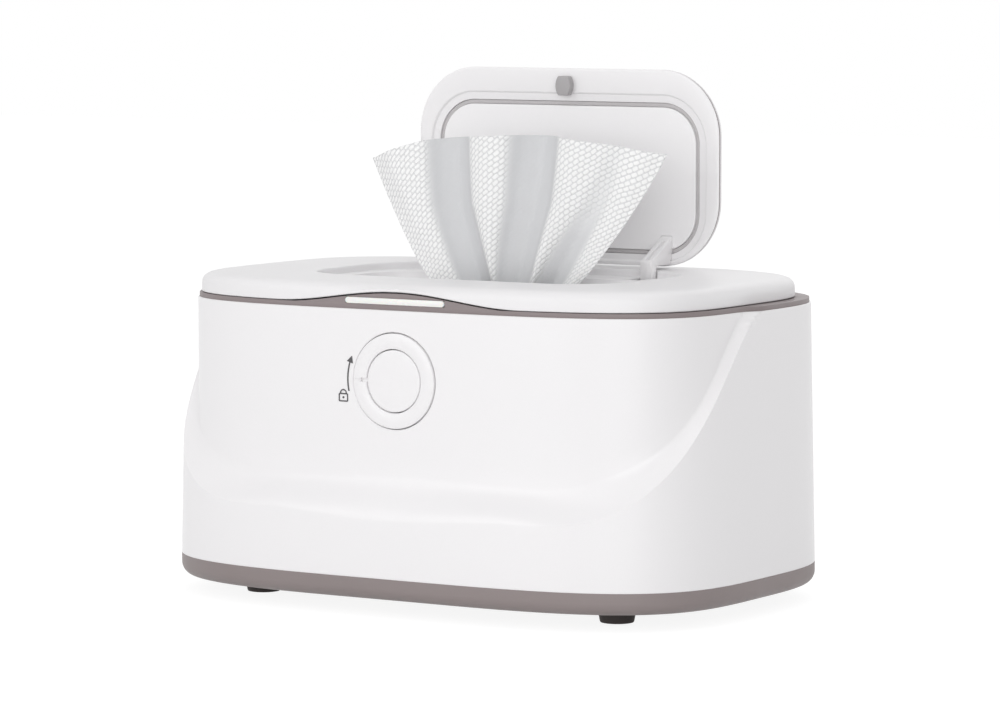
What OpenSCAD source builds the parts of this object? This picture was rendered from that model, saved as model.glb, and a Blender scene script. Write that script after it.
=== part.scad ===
// Baby wipe warmer with a hinged lid, a dispensing flap and a push button latch.
// Millimetres. X runs along the width, Y to the back and Z up. The warmer stands on Z = 0.
// It is drawn at rest as it is used: main lid shut, dispensing flap open, a wipe drawn up.

/* [Casing] */
// Width of the white casing at its lower edge
casing_w = 250; // [244:1:256]
// Depth of the white casing at its lower edge
casing_d = 169.5; // [166:0.5:173]
// Height of the white casing, without the tray and the lid
casing_h = 104.45; // [102:0.05:110]
// Wall of the white casing
casing_wall = 2.5; // [2:0.1:3]
// How far each side leans in from the lower edge to the upper edge
casing_draft = 1.9; // [1.2:0.1:2.4]
// Squareness of the casing's plan, 2 is an ellipse
casing_n = 3.55; // [3.3:0.05:3.8]
// How far the upper part is set in at each side
inset_side = 6.15; // [5.5:0.05:7.5]
// How far the upper part is set back at the front
inset_front = 9.15; // [8:0.05:9.8]
// Squareness of the inset plan
upper_n = 3.75; // [3.5:0.05:4]
// Height of the ledge above the casing's lower edge, beside the front
crest_low = 25.2; // [20:0.2:32]
// Angle ahead of each side's middle at which the ledge starts to climb
crest_sweep = 52; // [46:1:58]
// Height of the sloping ledge where it climbs
ledge_side_h = 3.8; // [3:0.1:5]
// Height that the sloping ledge gains beside the front
ledge_front_h = 9.2; // [7:0.1:12]

/* [Tray and feet] */
// Height of the feet below the tray
foot_h = 6.5; // [5:0.1:9]
// Height of the grey tray
tray_h = 8.75; // [8:0.05:11]
// Floor and wall of the tray
tray_wall = 2.2; // [1.8:0.1:2.6]
// Radius of the tray's lower edge
tray_round = 5; // [3.5:0.1:6]
// Radius of a foot where it meets the tray
foot_r_top = 7.85; // [6.5:0.05:9]
// Radius of a foot on the surface
foot_r_bottom = 6.7; // [5.5:0.1:7.5]
// Distance of the feet from the middle, across
foot_x = 83.2; // [76:0.1:88]
// Distance of the feet from the middle, front to back
foot_y = 45.1; // [40:0.1:49]

/* [Frame and lid] */
// Height of the grey frame that shows above the casing
frame_band = 1.9; // [1.6:0.1:2.6]
// Seam between the frame and the lid
lid_seam = 0.3; // [0.3:0.05:0.6]
// Height of the lid
lid_h = 8.2; // [8:0.1:9.5]
// How far the lid's sides stand in from the casing's
lid_in_side = 2.1; // [1.5:0.1:3.4]
// How far the lid's front stands in from the casing's
lid_in_front = 0.4; // [0.1:0.1:1]
// Wall of the lid shell
lid_wall = 2.2; // [1.8:0.1:2.4]
// Rise of the wave in the lid's front edge
wave_h = 5; // [4:0.1:5.4]
// Half the width of that wave
wave_half = 57; // [50:1:62]
// Width of the light bar in the frame
light_w = 45.8; // [36:0.2:50]
// Height of the light bar
light_h = 2.4; // [2:0.1:2.6]

/* [Tub] */
// Width of the shelf that carries the tub's rim at each side
shelf_side = 11.85; // [10.5:0.05:16]
// Width of that shelf at the front, where the latch is
shelf_front = 24.1; // [23.5:0.1:30]
// Width of that shelf at the back
shelf_back = 15.35; // [14:0.05:20]
// Radius of the tub's upright corners
tub_r = 24; // [18:1:30]
// Wall of the tub
tub_wall = 2; // [1.6:0.1:2.2]
// Air between the electronics and the heater's cover
under_room = 4.4; // [3:0.1:8]

/* [Heater] */
// Width of the heater plate
plate_w = 150; // [130:1:160]
// Depth of the heater plate
plate_d = 84; // [74:1:88]
// Thickness of the heater plate
plate_t = 1.5; // [1:0.1:2]
// Thickness of the heating film
film_t = 0.5; // [0.4:0.1:0.8]
// Thickness of the insulation pad
pad_t = 4; // [3:0.5:5]

/* [Knob and button] */
// Outer radius of the lock ring
ring_r = 18.7; // [17.5:0.1:19]
// Radius of the push button
button_r = 12.2; // [11:0.1:12.5]
// Travel of the push button
button_travel = 2; // [1.5:0.1:2]
// Gap round the ring and the button
knob_gap = 0.4; // [0.3:0.05:0.5]

/* [Flap] */
// Width of the dispensing flap
flap_w = 143.5; // [138:0.5:146]
// Length of the flap from hinge edge to free edge
flap_len = 80.1; // [76:0.1:81]
// Radius of the flap's corners
flap_r = 27; // [22:1:30]
// Thickness of the flap at its edge
flap_edge = 2.2; // [1.8:0.1:2.4]
// Rise of the flap's crown above its edge
flap_crown = 2.6; // [2:0.1:3.2]
// Distance of each hinge arm from the middle
arm_x = 47; // [40:0.5:48]
// Width of a hinge arm
arm_w = 5.2; // [4.4:0.1:6]

/* [Wipe] */
// Width of the wipe's fan at its tips
wipe_w = 138; // [120:1:144]
// Width of the wipe where it leaves the slot
neck_w = 70; // [60:1:74]
// Height of the wipe above the dispensing slot
wipe_h = 61; // [50:1:66]

/* [Hidden] */

// Colours as the photograph shows them
white = [0.95, 0.95, 0.96];
inner_white = [0.9, 0.9, 0.91];
tray_grey = [0.5, 0.46, 0.45];
frame_grey = [0.55, 0.5, 0.5];
foot_black = [0.13, 0.11, 0.11];
steel = [0.7, 0.7, 0.72];
soft_grey = [0.66, 0.65, 0.66];

// Smoothness
plan_count = 96;
step_angle = 360 / plan_count;
arc_fn = 64;
small_fn = 32;

// Heights from the surface upwards
tray_z = foot_h;
casing_z = tray_z + tray_h;
casing_top = casing_z + casing_h;
frame_top = casing_top + frame_band;
lid_z = frame_top + lid_seam;
lid_top = lid_z + lid_h;

// Clearances
still_gap = 0.3;
slide_gap = 0.3;
pin_gap = 0.05;
screw_gap = 0.1;

// Plan outlines in polar form round the upright axis
function ease(t) = let (c = min(1, max(0, t))) c * c * (3 - 2 * c);
function plan_r(a, b, n, q) = pow(pow(abs(cos(q)) / a, n) + pow(abs(sin(q)) / b, n), -1 / n);
function polar(r, q, z) = [r * cos(q), r * sin(q), z];

// Angle from the nearest side's middle, from -90 at the front to 90 at the back
function side_angle(q) = atan2(sin(q), abs(cos(q)));

// The ledge: its crest height, its own height and how softly it turns, by side angle
front_drop = 6;
front_soft_h = 18;
soft_from = 50;
soft_span = 40;
crest_power = 1.5;
ledge_from = 14;
ledge_span = 24;
crisp_power = 1.7;
crest_rise = casing_h - crest_low;
function crest_z(s) = casing_z + crest_low - front_drop * ease((-soft_from - s) / soft_span)
    + crest_rise * ease(pow(max(0, (s + crest_sweep) / crest_sweep), crest_power));
function ledge_h(s) = ledge_side_h + ledge_front_h * ease((-ledge_from - s) / ledge_span)
    + front_soft_h * ease((-soft_from - s) / soft_span);
function softness(s) = ease((-ledge_from - ledge_span - s) / (soft_span / 2));

// Share of the outer outline in the surface at height z, 1 below the crest and 0 above the ledge
function outer_share(s, z) = let (t = min(1, max(0, (z - crest_z(s)) / ledge_h(s))))
    (1 - softness(s)) * pow(1 - t, crisp_power) + softness(s) * (1 - ease(t));
function outer_r(q, z) = let (lean = casing_draft * (z - casing_z) / casing_h)
    plan_r(casing_w / 2 - lean, casing_d / 2 - lean, casing_n, q);
function upper_r(q) = plan_r(upper_w / 2, upper_d / 2, upper_n, q);
function casing_r(q, z) = upper_r(q) + (outer_r(q, z) - upper_r(q)) * outer_share(side_angle(q), z);

// Heights of the casing's rings at angle q: they follow the ledge
crest_room = 1.5;
ledge_steps = [0, 0.12, 0.3, 0.55, 0.8, 1];
function ring_crest(s) = min(crest_z(s), casing_top - ledge_h(s) - crest_room);
function ring_heights(s) = let (c = ring_crest(s), h = ledge_h(s))
    concat([casing_z, (casing_z + c) / 2], [for (k = ledge_steps) c + k * h],
        [(c + h + casing_top) / 2, casing_top]);
ring_count = len(ledge_steps) + 4;
function casing_ring(k, inset) = [for (i = [0:plan_count - 1])
    let (q = i * step_angle, z = ring_heights(side_angle(q))[k]) polar(casing_r(q, z) - inset, q, z)];
function plan_ring(a, b, n, inset, z) = [for (i = [0:plan_count - 1])
    let (q = i * step_angle) polar(plan_r(a, b, n, q) - inset, q, z)];

// Outline of the casing's upper edge, for the frame
function top_outline(inset) = [for (i = [0:plan_count - 1])
    let (q = i * step_angle, r = casing_r(q, casing_top) - inset) [r * cos(q), r * sin(q)]];
function lid_outline(inset) = [for (i = [0:plan_count - 1])
    let (q = i * step_angle, r = plan_r(lid_w / 2, lid_d / 2, lid_n, q) - inset) [r * cos(q), r * sin(q)]];
lid_n = 3.8;

// A solid lofted through rings of equal count, closed at both ends
module loft(rings) {
    n = len(rings[0]);
    m = len(rings);
    sides = [for (k = [0:m - 2], i = [0:n - 1]) let (j = (i + 1) % n) each [
        [k * n + i, (k + 1) * n + i, (k + 1) * n + j], [k * n + i, (k + 1) * n + j, k * n + j]]];
    start_cap = [[for (i = [0:n - 1]) i]];
    end_cap = [[for (i = [n - 1:-1:0]) (m - 1) * n + i]];
    polyhedron(points = [for (ring = rings) each ring], faces = concat(sides, start_cap, end_cap));
}

// A band whose last ring meets its first
module loop_loft(rings) {
    n = len(rings[0]);
    m = len(rings);
    faces = [for (k = [0:m - 1], i = [0:n - 1]) let (j = (i + 1) % n, l = (k + 1) % m) each [
        [k * n + i, l * n + i, l * n + j], [k * n + i, l * n + j, k * n + j]]];
    polyhedron(points = [for (ring = rings) each ring], faces = faces);
}

// A rectangle with round corners, of true arcs
module round_rect(w, d, r) {
    square([w - 2 * r, d], center = true);
    if (d > 2 * r)
        square([w, d - 2 * r], center = true);
    for (x = [-1, 1], y = [-1, 1])
        translate([x * (w / 2 - r), y * (d / 2 - r)])
            circle(r, $fn = arc_fn);
}
module round_plate(w, d, r, z0, z1, y = 0) {
    translate([0, y, z0])
        linear_extrude(z1 - z0)
            round_rect(w, d, r);
}
module box(x0, x1, y0, y1, z0, z1) {
    translate([x0, y0, z0])
        cube([x1 - x0, y1 - y0, z1 - z0]);
}
// A cylinder along Y from y0 to y1, centred on the knob's axis
module knob_disc(r, y0, y1) {
    translate([0, y0, knob_z])
        rotate([-90, 0, 0])
            cylinder(r = r, h = y1 - y0, $fn = arc_fn);
}
// A rod along X
module cross_rod(r, x0, x1, y, z) {
    translate([x0, y, z])
        rotate([0, 90, 0])
            cylinder(r = r, h = x1 - x0, $fn = small_fn);
}
module both_sides() {
    children();
    mirror([1, 0, 0])
        children();
}
module four_ways(x, y) {
    for (i = [-1, 1], j = [-1, 1])
        translate([i * x, j * y, 0])
            children();
}
// A round wire swept along points in a space where it never runs along ref
function unit(v) = v / norm(v);
function run_at(p, i) = unit(p[min(i + 1, len(p) - 1)] - p[max(i - 1, 0)]);
module wire(points, r, ref, sides = 8) {
    rings = [for (i = [0:len(points) - 1])
        let (t = run_at(points, i), u = unit(cross(ref, t)), v = cross(t, u))
        [for (k = [0:sides - 1]) let (a = k * 360 / sides) points[i] + r * (cos(a) * u + sin(a) * v)]];
    loft(rings);
}
// Points of a helix round Z
function helix(radius, length, turns, per_turn) = [for (i = [0:turns * per_turn])
    let (a = 360 * i / per_turn, t = i / (turns * per_turn))
    [radius * cos(a), radius * sin(a), length * t]];
module spring(radius, length, turns, wire_r) {
    points = helix(radius, length - 2 * wire_r, turns, 8);
    n = len(points);
    rings = [for (i = [0:n - 1])
        let (t = run_at(points, i), u = unit([points[i].x, points[i].y, 0]), v = cross(t, u))
        [for (k = [0:5]) points[i] + [0, 0, wire_r] + wire_r * (cos(60 * k) * u + sin(60 * k) * v)]];
    loft(rings);
    gaps = [for (i = [0:n - 9]) norm(points[i + 8] - points[i]) - 2 * wire_r];
    echo(spring_turn_gap = min(gaps));
}

// Screws, head at the given height and pointing down unless flipped
module screw(head_r, head_h, shaft_r, shaft_len) {
    difference() {
        cylinder(r = head_r, h = head_h, $fn = small_fn);
        translate([0, 0, head_h - 0.8])
            box(-head_r * 0.6, head_r * 0.6, -0.4, 0.4, 0, 1);
    }
    translate([0, 0, -shaft_len])
        cylinder(r = shaft_r, h = shaft_len, $fn = small_fn);
}

// Places and sizes worked out from the driving ones
upper_w = casing_w - 2 * inset_side;
upper_d = casing_d - 2 * inset_front;
lid_w = upper_w - 2 * lid_in_side;
lid_d = upper_d - 2 * lid_in_front;
front_y = -upper_d / 2;
front_in = front_y + casing_wall;
back_y = casing_d / 2 - casing_draft;

// Tub and frame opening
flange = 3.5;
flange_t = 2;
rim_z = casing_top - 2.7;
shelf_z = rim_z - flange_t;
shelf_t = 2;
tub_front = front_y + shelf_front;
rim_w = upper_w - 2 * shelf_side;
rim_d = back_y - shelf_back - tub_front;
tub_y = tub_front + rim_d / 2;
tub_w = rim_w - 2 * (tub_wall + flange);
tub_d = rim_d - 2 * (tub_wall + flange);
rim_r = tub_r + tub_wall + flange;

// Heater stack below the tub
tray_floor = tray_z + tray_wall;
board_post_h = 8.8;
board_z = tray_floor + board_post_h;
board_t = 1.6;
board_top = board_z + board_t;
tall_part_h = 7;
cover_t = 1.5;
cover_z = board_top + tall_part_h + under_room;
pad_z = cover_z + cover_t;
film_z = pad_z + pad_t;
tub_under = film_z + film_t + plate_t;
tub_floor = tub_under + tub_wall;
film_inset = 7;
cutout_x = -60;
cutout_r = 9;
cover_rim = 2;
cover_lug = 6;
lead_x = 35;
lead_notch = 6;

// Control board in the tray
board_w = 90;
board_d = 44;
board_y = casing_d / 2 - 8.75 - board_d / 2;
board_hole_x = board_w / 2 - 5;
board_hole_y = board_d / 2 - 4;
socket_z = board_top + 5.9;
socket_face = casing_d / 2 - 0.35;
socket_r = 4.8;
socket_bore = 2.9;
socket_pin_r = 1.05;
socket_pin_len = 8.5;
socket_depth = 9.5;
socket_body = 14;

// Screws of the tray, with casing pillars in line
base_screw_x = casing_w / 2 - 31;
base_screw_y = casing_d / 2 - 26.75;
pillar_r = 4.5;
pillar_h = 14.75;
screw_r = 1.45;
screw_head_r = 3;
screw_head_h = 2;

// Screws of the frame
frame_screw_x = upper_w / 2 - 6.55;
frame_screw_ys = [-20, 35];
frame_pillar_r = 3.6;
frame_pillar_h = 18;
frame_screw_r = 1.2;
frame_head_r = 2.4;

// Knob, button and latch, from the front backwards
ring_front = front_y - 0.6;
button_front = front_y - 0.4;
ring_flange_y = front_in + 0.5;
ring_flange_t = 2;
ring_back = ring_flange_y + ring_flange_t;
ring_flange_r = ring_r + 1.8;
ring_bore = button_r + knob_gap;
button_flange_y = ring_back + 0.6;
button_flange_t = 1.4;
button_flange_r = button_r + 1.6;
button_back = button_flange_y + button_flange_t;
stem_r = 3.8;
spring_len = 7.9;
housing_back = button_back + spring_len;
housing_t = 2;
housing_front = front_in + 0.2;
housing_bore = ring_flange_r + knob_gap;
housing_r = housing_bore + 2.1;
stem_end = housing_back + housing_t + 0.4;
knob_clear = 0.5;
tongue_z = frame_top - 6;
knob_z = tongue_z - knob_clear - housing_r;
tab_r = 3.6;
tab_angle = 30;
tab_ring = housing_r + 2.6;
lever_face = stem_end + still_gap;
lever_t = 1.8;
lever_half = 5;
lever_arm = 24;
lever_y = lever_face + lever_t / 2;
lever_z = knob_z - lever_arm;
lever_boss = 3.2;
latch_pin_r = 1.5;
ear_t = 2.5;
ear_gap = 0.4;
ear_in = lever_half + ear_gap;
ear_out = ear_in + ear_t;
nose_z = tongue_z + 1.9;
nose_h = 2;
nose_len = 6.4;
tongue_t = 1.8;
barb_h = 1.4;
barb_y = lever_face - nose_len - 1;
barb_len = 1.8;
tongue_y = barb_y - barb_len - tongue_t;
notch_half = 11;
notch_front = tongue_y - 2.2;

// Hump of the frame below the lid's wave
hump_t = 3.4;
hump_front = -lid_d / 2;
hump_drop = 0.3;
light_z = frame_top + 0.3;
light_board_t = 1;
light_depth = hump_t - light_board_t;

// Lid hinge at the back
hinge_r = 2.6;
hinge_y = lid_d / 2 + 3.4;
hinge_z = lid_z + 2.9;
hinge_pin_r = 1.5;
knuckle_x0 = 36;
knuckle_x1 = 60;
hinge_ear = 5.7;
hinge_side_gap = 0.3;

// Flap hinge, and the flap shut over the recess
recess_front = 0.05 - flap_len / 2;
flap_pivot_back = 9.3;
flap_pivot_y = recess_front + flap_len + flap_pivot_back;
flap_pivot_z = lid_z - 0.3;
flap_bottom = flap_pivot_z + flap_pivot_back;
recess_z = lid_top - 3.1;
flap_seat_gap = 0.3;
flap_face_y = flap_pivot_y + (recess_z + flap_seat_gap - flap_pivot_z);
flap_top = flap_bottom + flap_len;
flap_pin_r = 1.5;
recess_gap = 0.7;
recess_y = recess_front + flap_len / 2;
recess_w = flap_w + 2 * recess_gap;
recess_d = flap_len + 2 * recess_gap;
recess_r = flap_r + recess_gap;
basin_wall = 2;
// Room behind the shut flap for its hinge edge to swing up through
hinge_room = 2.8;

// Sunken middle of the flap's inner face, the pocket in it, and the panel and seal in the pocket
dish_side = 5.7;
dish_top = 9.8;
dish_bottom = 1.6;
dish_r = 21;
dish_depth = 0.9;
dish_slope = 0.7;
panel_side = 9.4;
panel_top = 13.4;
panel_bottom = 4.6;
panel_r = 17;
panel_t = 1.8;
panel_w = flap_w - 2 * panel_side;
panel_len = flap_len - panel_top - panel_bottom;
panel_mid = flap_bottom + panel_bottom + panel_len / 2;
seal_w = 1.8;
// Gap that a film of glue fills
glue_gap = 0.1;
seal_sunk = 0.7;
lid_floor_z = lid_z + 0.1;

// Hinge arms, as points of their middle line in Y and Z
arm_t = 4.2;
arm_foot = [flap_face_y, flap_bottom + 8.7];
arm_pad_z = arm_foot[1] + 3.7;
arm_pad_y = flap_face_y + dish_depth;
arm_elbow = [recess_y + recess_d / 2 + 0.5, flap_bottom + 1.7];
arm_heel = [arm_elbow[0], flap_pivot_z - 1.1];
arm_boss = 3.1;
arm_slot_gap = 0.7;
slot_back = arm_elbow[0] + arm_t / 2 + arm_slot_gap;
slot_front = flap_pivot_y - (arm_foot[1] - flap_pivot_z) - 3;
// Well in the recess, in front of the arms' slots
well_depth = 3;
well_z = recess_z - well_depth;
well_w = recess_w - 11.9;
well_r = recess_r - 6.7;
well_front = recess_front + 7.3;
well_back = slot_front - 1.6;
well_d = well_back - well_front;
well_y = (well_back + well_front) / 2;
lug_t = 2.4;
lug_gap = 0.4;
lug_in = arm_w / 2 + lug_gap;
lug_r = 3.2;
lug_half = 3;

// Dispensing slot
slot_w = neck_w + 8;
slot_d = 14;
slot_y = 10;
ring_wall = 3;
ring_lip = 1;

// Liner and gasket below the lid
liner_t = 1.9;
liner_z = lid_z + 0.1 - liner_t;
gasket_in = 0.8;
gasket_w = 4.6;
gasket_z = rim_z + still_gap;
liner_screw_x = rim_w / 2 - 19;
liner_screw_y = rim_d / 2 - 16;
pocket_side = 7.6;

// Catch of the flap
catch_z = flap_top - 7.1;
catch_w = 7;
catch_h = 8;
catch_proud = 3.5;
pocket_w = 10.4;
pocket_y = flap_pivot_y - (catch_z - flap_pivot_z);

module outer_casing() {
    outer = [for (k = [0:ring_count - 1]) casing_ring(k, 0)];
    inner = [for (k = [ring_count - 1:-1:0]) casing_ring(k, casing_wall)];
    color(white)
        difference() {
            union() {
                loop_loft(concat(outer, inner));
                casing_pillars();
            }
            knob_disc(ring_r + knob_gap, front_y - 5, front_in + 1);
            for (p = tab_points())
                translate([p[0], 0, p[1] - knob_z])
                    knob_disc(0.95 + pin_gap, front_in - 1.3, front_in + 1);
            translate([0, socket_face - 8, socket_z])
                rotate([-90, 0, 0])
                    cylinder(r = socket_r + slide_gap, h = 12, $fn = small_fn);
            four_ways(base_screw_x, base_screw_y)
                translate([0, 0, casing_z - 1])
                    cylinder(r = screw_r + pin_gap, h = pillar_h - 1, $fn = small_fn);
            both_sides()
                for (y = frame_screw_ys)
                    translate([frame_screw_x, y, shelf_z - shelf_t - 10])
                        cylinder(r = frame_screw_r + pin_gap, h = 11, $fn = small_fn);
        }
}
// Screw pillars inside the casing, each with a rib out to the wall
module casing_pillars() {
    base_q = atan2(base_screw_y, base_screw_x);
    base_reach = norm([base_screw_x, base_screw_y]);
    for (q = [base_q, 180 - base_q, 180 + base_q, -base_q])
        rotate(q) {
            translate([base_reach, 0, casing_z])
                cylinder(r = pillar_r, h = pillar_h, $fn = small_fn);
            box(base_reach, outer_r(base_q, casing_z) - casing_draft - 1, -1.5, 1.5, casing_z, casing_z + pillar_h);
        }
    both_sides()
        for (y = frame_screw_ys) {
            z0 = shelf_z - shelf_t - frame_pillar_h;
            q = atan2(y, frame_screw_x);
            wall_x = casing_r(q, casing_top) * cos(q) - casing_wall / 2;
            translate([frame_screw_x, y, z0])
                cylinder(r = frame_pillar_r, h = frame_pillar_h, $fn = small_fn);
            box(frame_screw_x, wall_x, y - 1.2, y + 1.2, z0, z0 + frame_pillar_h);
        }
}

module base_cover() {
    a = casing_w / 2;
    b = casing_d / 2;
    turn = [for (t = [0:22.5:90]) [tray_round * (1 - sin(t)), tray_round * (1 - cos(t))]];
    inner_low = tray_wall * 0.8;
    color(tray_grey)
        difference() {
            union() {
                loft(concat(
                    [for (e = turn) plan_ring(a, b, casing_n, e[0], tray_z + e[1])],
                    [plan_ring(a, b, casing_n, 0, casing_z)],
                    [plan_ring(a, b, casing_n, tray_wall, casing_z)],
                    [plan_ring(a, b, casing_n, tray_wall, tray_floor + inner_low)],
                    [plan_ring(a, b, casing_n, tray_wall + 2.5, tray_floor)]));
                four_ways(base_screw_x, base_screw_y)
                    translate([0, 0, tray_floor])
                        cylinder(r = pillar_r, h = casing_z - tray_floor, $fn = small_fn);
                translate([0, board_y, 0])
                    four_ways(board_hole_x, board_hole_y)
                        translate([0, 0, tray_floor])
                            cylinder(r = 3, h = board_z - tray_floor, $fn = small_fn);
            }
            four_ways(base_screw_x, base_screw_y) {
                translate([0, 0, tray_z - 1])
                    cylinder(r = screw_r + screw_gap, h = tray_h + 2, $fn = small_fn);
                translate([0, 0, tray_z - 1])
                    cylinder(r = screw_head_r + screw_gap, h = screw_head_h + 2, $fn = small_fn);
            }
            four_ways(foot_x, foot_y)
                translate([0, 0, tray_z - 1])
                    cylinder(r = 3 + pin_gap, h = tray_wall + 2, $fn = small_fn);
            translate([0, board_y, 0])
                four_ways(board_hole_x, board_hole_y)
                    translate([0, 0, board_z - 6])
                        cylinder(r = 1.1 + pin_gap, h = 7, $fn = small_fn);
        }
}
module rubber_feet() {
    color(foot_black)
        four_ways(foot_x, foot_y) {
            cylinder(r1 = foot_r_bottom, r2 = foot_r_top, h = foot_h, $fn = arc_fn);
            translate([0, 0, foot_h])
                cylinder(r = 3, h = tray_wall, $fn = small_fn);
        }
}
module base_screws() {
    color(steel)
        four_ways(base_screw_x, base_screw_y)
            translate([0, 0, tray_z + screw_head_h + 1])
                mirror([0, 0, 1])
                    screw(screw_head_r, screw_head_h, screw_r, tray_h - screw_head_h - 1 + pillar_h - 4);
}

// Height of the lid's lower edge along the front
function wave_z(x) = lid_z + wave_h * (abs(x) < wave_half ? (1 + cos(180 * x / wave_half)) / 2 : 0);
module wave_prism(drop, y0, y1) {
    xs = [for (k = [-12:12]) wave_half * k / 12];
    points = concat([for (x = xs) [x, wave_z(x) - drop]], [[wave_half, lid_z - 3], [-wave_half, lid_z - 3]]);
    translate([0, y1, 0])
        rotate([90, 0, 0])
            linear_extrude(y1 - y0)
                polygon(points);
}
module top_frame() {
    color(frame_grey)
        difference() {
            union() {
                translate([0, 0, casing_top])
                    linear_extrude(frame_band)
                        polygon(top_outline(0.6));
                translate([0, 0, shelf_z - shelf_t])
                    linear_extrude(casing_top - shelf_z + shelf_t)
                        polygon(top_outline(casing_wall + still_gap));
                intersection() {
                    translate([0, 0, casing_top])
                        linear_extrude(lid_h)
                            polygon(lid_outline(0.2));
                    wave_prism(hump_drop + lid_seam, hump_front - 1, hump_front + hump_t);
                }
                both_sides()
                    frame_ears();
            }
            round_plate(rim_w + 2 * still_gap, rim_d + 2 * still_gap, rim_r + still_gap, shelf_z, lid_top, tub_y);
            round_plate(rim_w - 2 * flange + 2 * still_gap, rim_d - 2 * flange + 2 * still_gap,
                rim_r - flange + still_gap, shelf_z - shelf_t - 1, lid_top, tub_y);
            box(-notch_half, notch_half, notch_front, tub_front + 1, shelf_z - shelf_t - 1, frame_top + 1);
            knob_disc(housing_r + still_gap, front_in - 1, housing_back + housing_t + 1);
            box(-light_w / 2 - pin_gap, light_w / 2 + pin_gap, hump_front - 2, hump_front + hump_t + 1,
                light_z - pin_gap, light_z + light_h + pin_gap);
            box(-light_w / 2 - 2, light_w / 2 + 2, hump_front + light_depth, hump_front + hump_t + 1,
                frame_top, light_z + light_h + 0.4);
            translate([30, front_y + 7.6, 0])
                cylinder(r = 1.6, h = lid_top, $fn = small_fn);
            both_sides() {
                for (y = frame_screw_ys)
                    translate([frame_screw_x, y, 0]) {
                        cylinder(r = frame_screw_r + screw_gap, h = lid_top, $fn = small_fn);
                        translate([0, 0, frame_top - 1.6])
                            cylinder(r = frame_head_r + screw_gap, h = 3, $fn = small_fn);
                    }
                cross_rod(hinge_pin_r + pin_gap, knuckle_x0 - 10, knuckle_x1 + 10, hinge_y, hinge_z);
            }
        }
}
module frame_ears() {
    for (x0 = [knuckle_x0 - hinge_side_gap - hinge_ear, knuckle_x1 + hinge_side_gap]) {
        cross_rod(hinge_r, x0, x0 + hinge_ear, hinge_y, hinge_z);
        box(x0, x0 + hinge_ear, hinge_y - 2.6, hinge_y + hinge_r - 0.2, frame_top - 1, hinge_z);
    }
}
module frame_screws() {
    color(steel)
        both_sides()
            for (y = frame_screw_ys)
                translate([frame_screw_x, y, frame_top - 1.6])
                    screw(frame_head_r, 1.4, frame_screw_r, frame_top - 1.6 - shelf_z + shelf_t + 9);
}

module wipe_tub() {
    color(inner_white)
        difference() {
            union() {
                round_plate(tub_w + 2 * tub_wall, tub_d + 2 * tub_wall, tub_r + tub_wall, tub_under, rim_z, tub_y);
                round_plate(rim_w, rim_d, rim_r, shelf_z, rim_z, tub_y);
                translate([0, tub_y, 0])
                    four_ways(plate_w / 2 + cover_lug, plate_d / 2 - 8)
                        translate([0, 0, cover_z + cover_t])
                            cylinder(r = 3.4, h = tub_under - cover_z - cover_t + 0.5, $fn = small_fn);
            }
            round_plate(tub_w, tub_d, tub_r, tub_floor, rim_z + 1, tub_y);
            translate([0, tub_y, 0])
                four_ways(plate_w / 2 + cover_lug, plate_d / 2 - 8)
                    translate([0, 0, cover_z])
                        cylinder(r = 1.1 + pin_gap, h = tub_under - cover_z - 0.5, $fn = small_fn);
        }
}
module heater_plate() {
    color(steel)
        round_plate(plate_w, plate_d, 6, tub_under - plate_t, tub_under, tub_y);
}
module heating_film() {
    color([0.75, 0.4, 0.2])
        difference() {
            round_plate(plate_w - 2 * film_inset, plate_d - 2 * film_inset, 4, film_z, film_z + film_t, tub_y);
            translate([cutout_x, tub_y, film_z - 1])
                cylinder(r = cutout_r, h = film_t + 2, $fn = arc_fn);
        }
}
module insulation_pad() {
    color([0.85, 0.82, 0.7])
        difference() {
            round_plate(plate_w, plate_d, 6, pad_z, film_z, tub_y);
            translate([cutout_x, tub_y, pad_z - 1])
                cylinder(r = cutout_r, h = pad_t + 2, $fn = arc_fn);
            box(lead_x - lead_notch, lead_x + lead_notch, tub_y + plate_d / 2 - film_inset - 1,
                tub_y + plate_d / 2 + 1, pad_z - 1, film_z + 1);
        }
}
module heater_cover() {
    reach = plate_w / 2 + cover_lug;
    color(inner_white)
        difference() {
            union() {
                round_plate(plate_w + 2 * (cover_rim + still_gap), plate_d + 2 * (cover_rim + still_gap),
                    8, cover_z, tub_under, tub_y);
                for (y = [-1, 1])
                    round_plate(2 * reach + 8, 8, 3.9, cover_z, cover_z + cover_t,
                        tub_y + y * (plate_d / 2 - 8));
            }
            round_plate(plate_w + 2 * still_gap, plate_d + 2 * still_gap, 6.3, cover_z + cover_t, tub_under + 1, tub_y);
            translate([cutout_x, tub_y, cover_z - 1])
                cylinder(r = cutout_r, h = cover_t + 2, $fn = arc_fn);
            box(lead_x - lead_notch, lead_x + lead_notch, tub_y + plate_d / 2 - 2,
                tub_y + plate_d / 2 + 6, cover_z - 1, film_z + 1);
            translate([0, tub_y, 0])
                four_ways(reach, plate_d / 2 - 8)
                    translate([0, 0, cover_z - 1])
                        cylinder(r = 1.1 + screw_gap, h = cover_t + 2, $fn = small_fn);
        }
}
module heater_screws() {
    color(steel)
        translate([0, tub_y, 0])
            four_ways(plate_w / 2 + cover_lug, plate_d / 2 - 8)
                translate([0, 0, cover_z])
                    mirror([0, 0, 1])
                        screw(2.2, 1.4, 1.1, cover_t + 4);
}
module thermostat() {
    color([0.25, 0.25, 0.28])
        translate([cutout_x, tub_y - 3, 0]) {
            translate([0, 0, tub_under - plate_t - 4])
                cylinder(r = 4.6, h = 4, $fn = small_fn);
            for (x = [-2, 2])
                translate([x, 0, 0])
                    box(-0.8, 0.8, -0.3, 0.3, tub_under - plate_t - 7, tub_under - plate_t - 4);
        }
}
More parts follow.
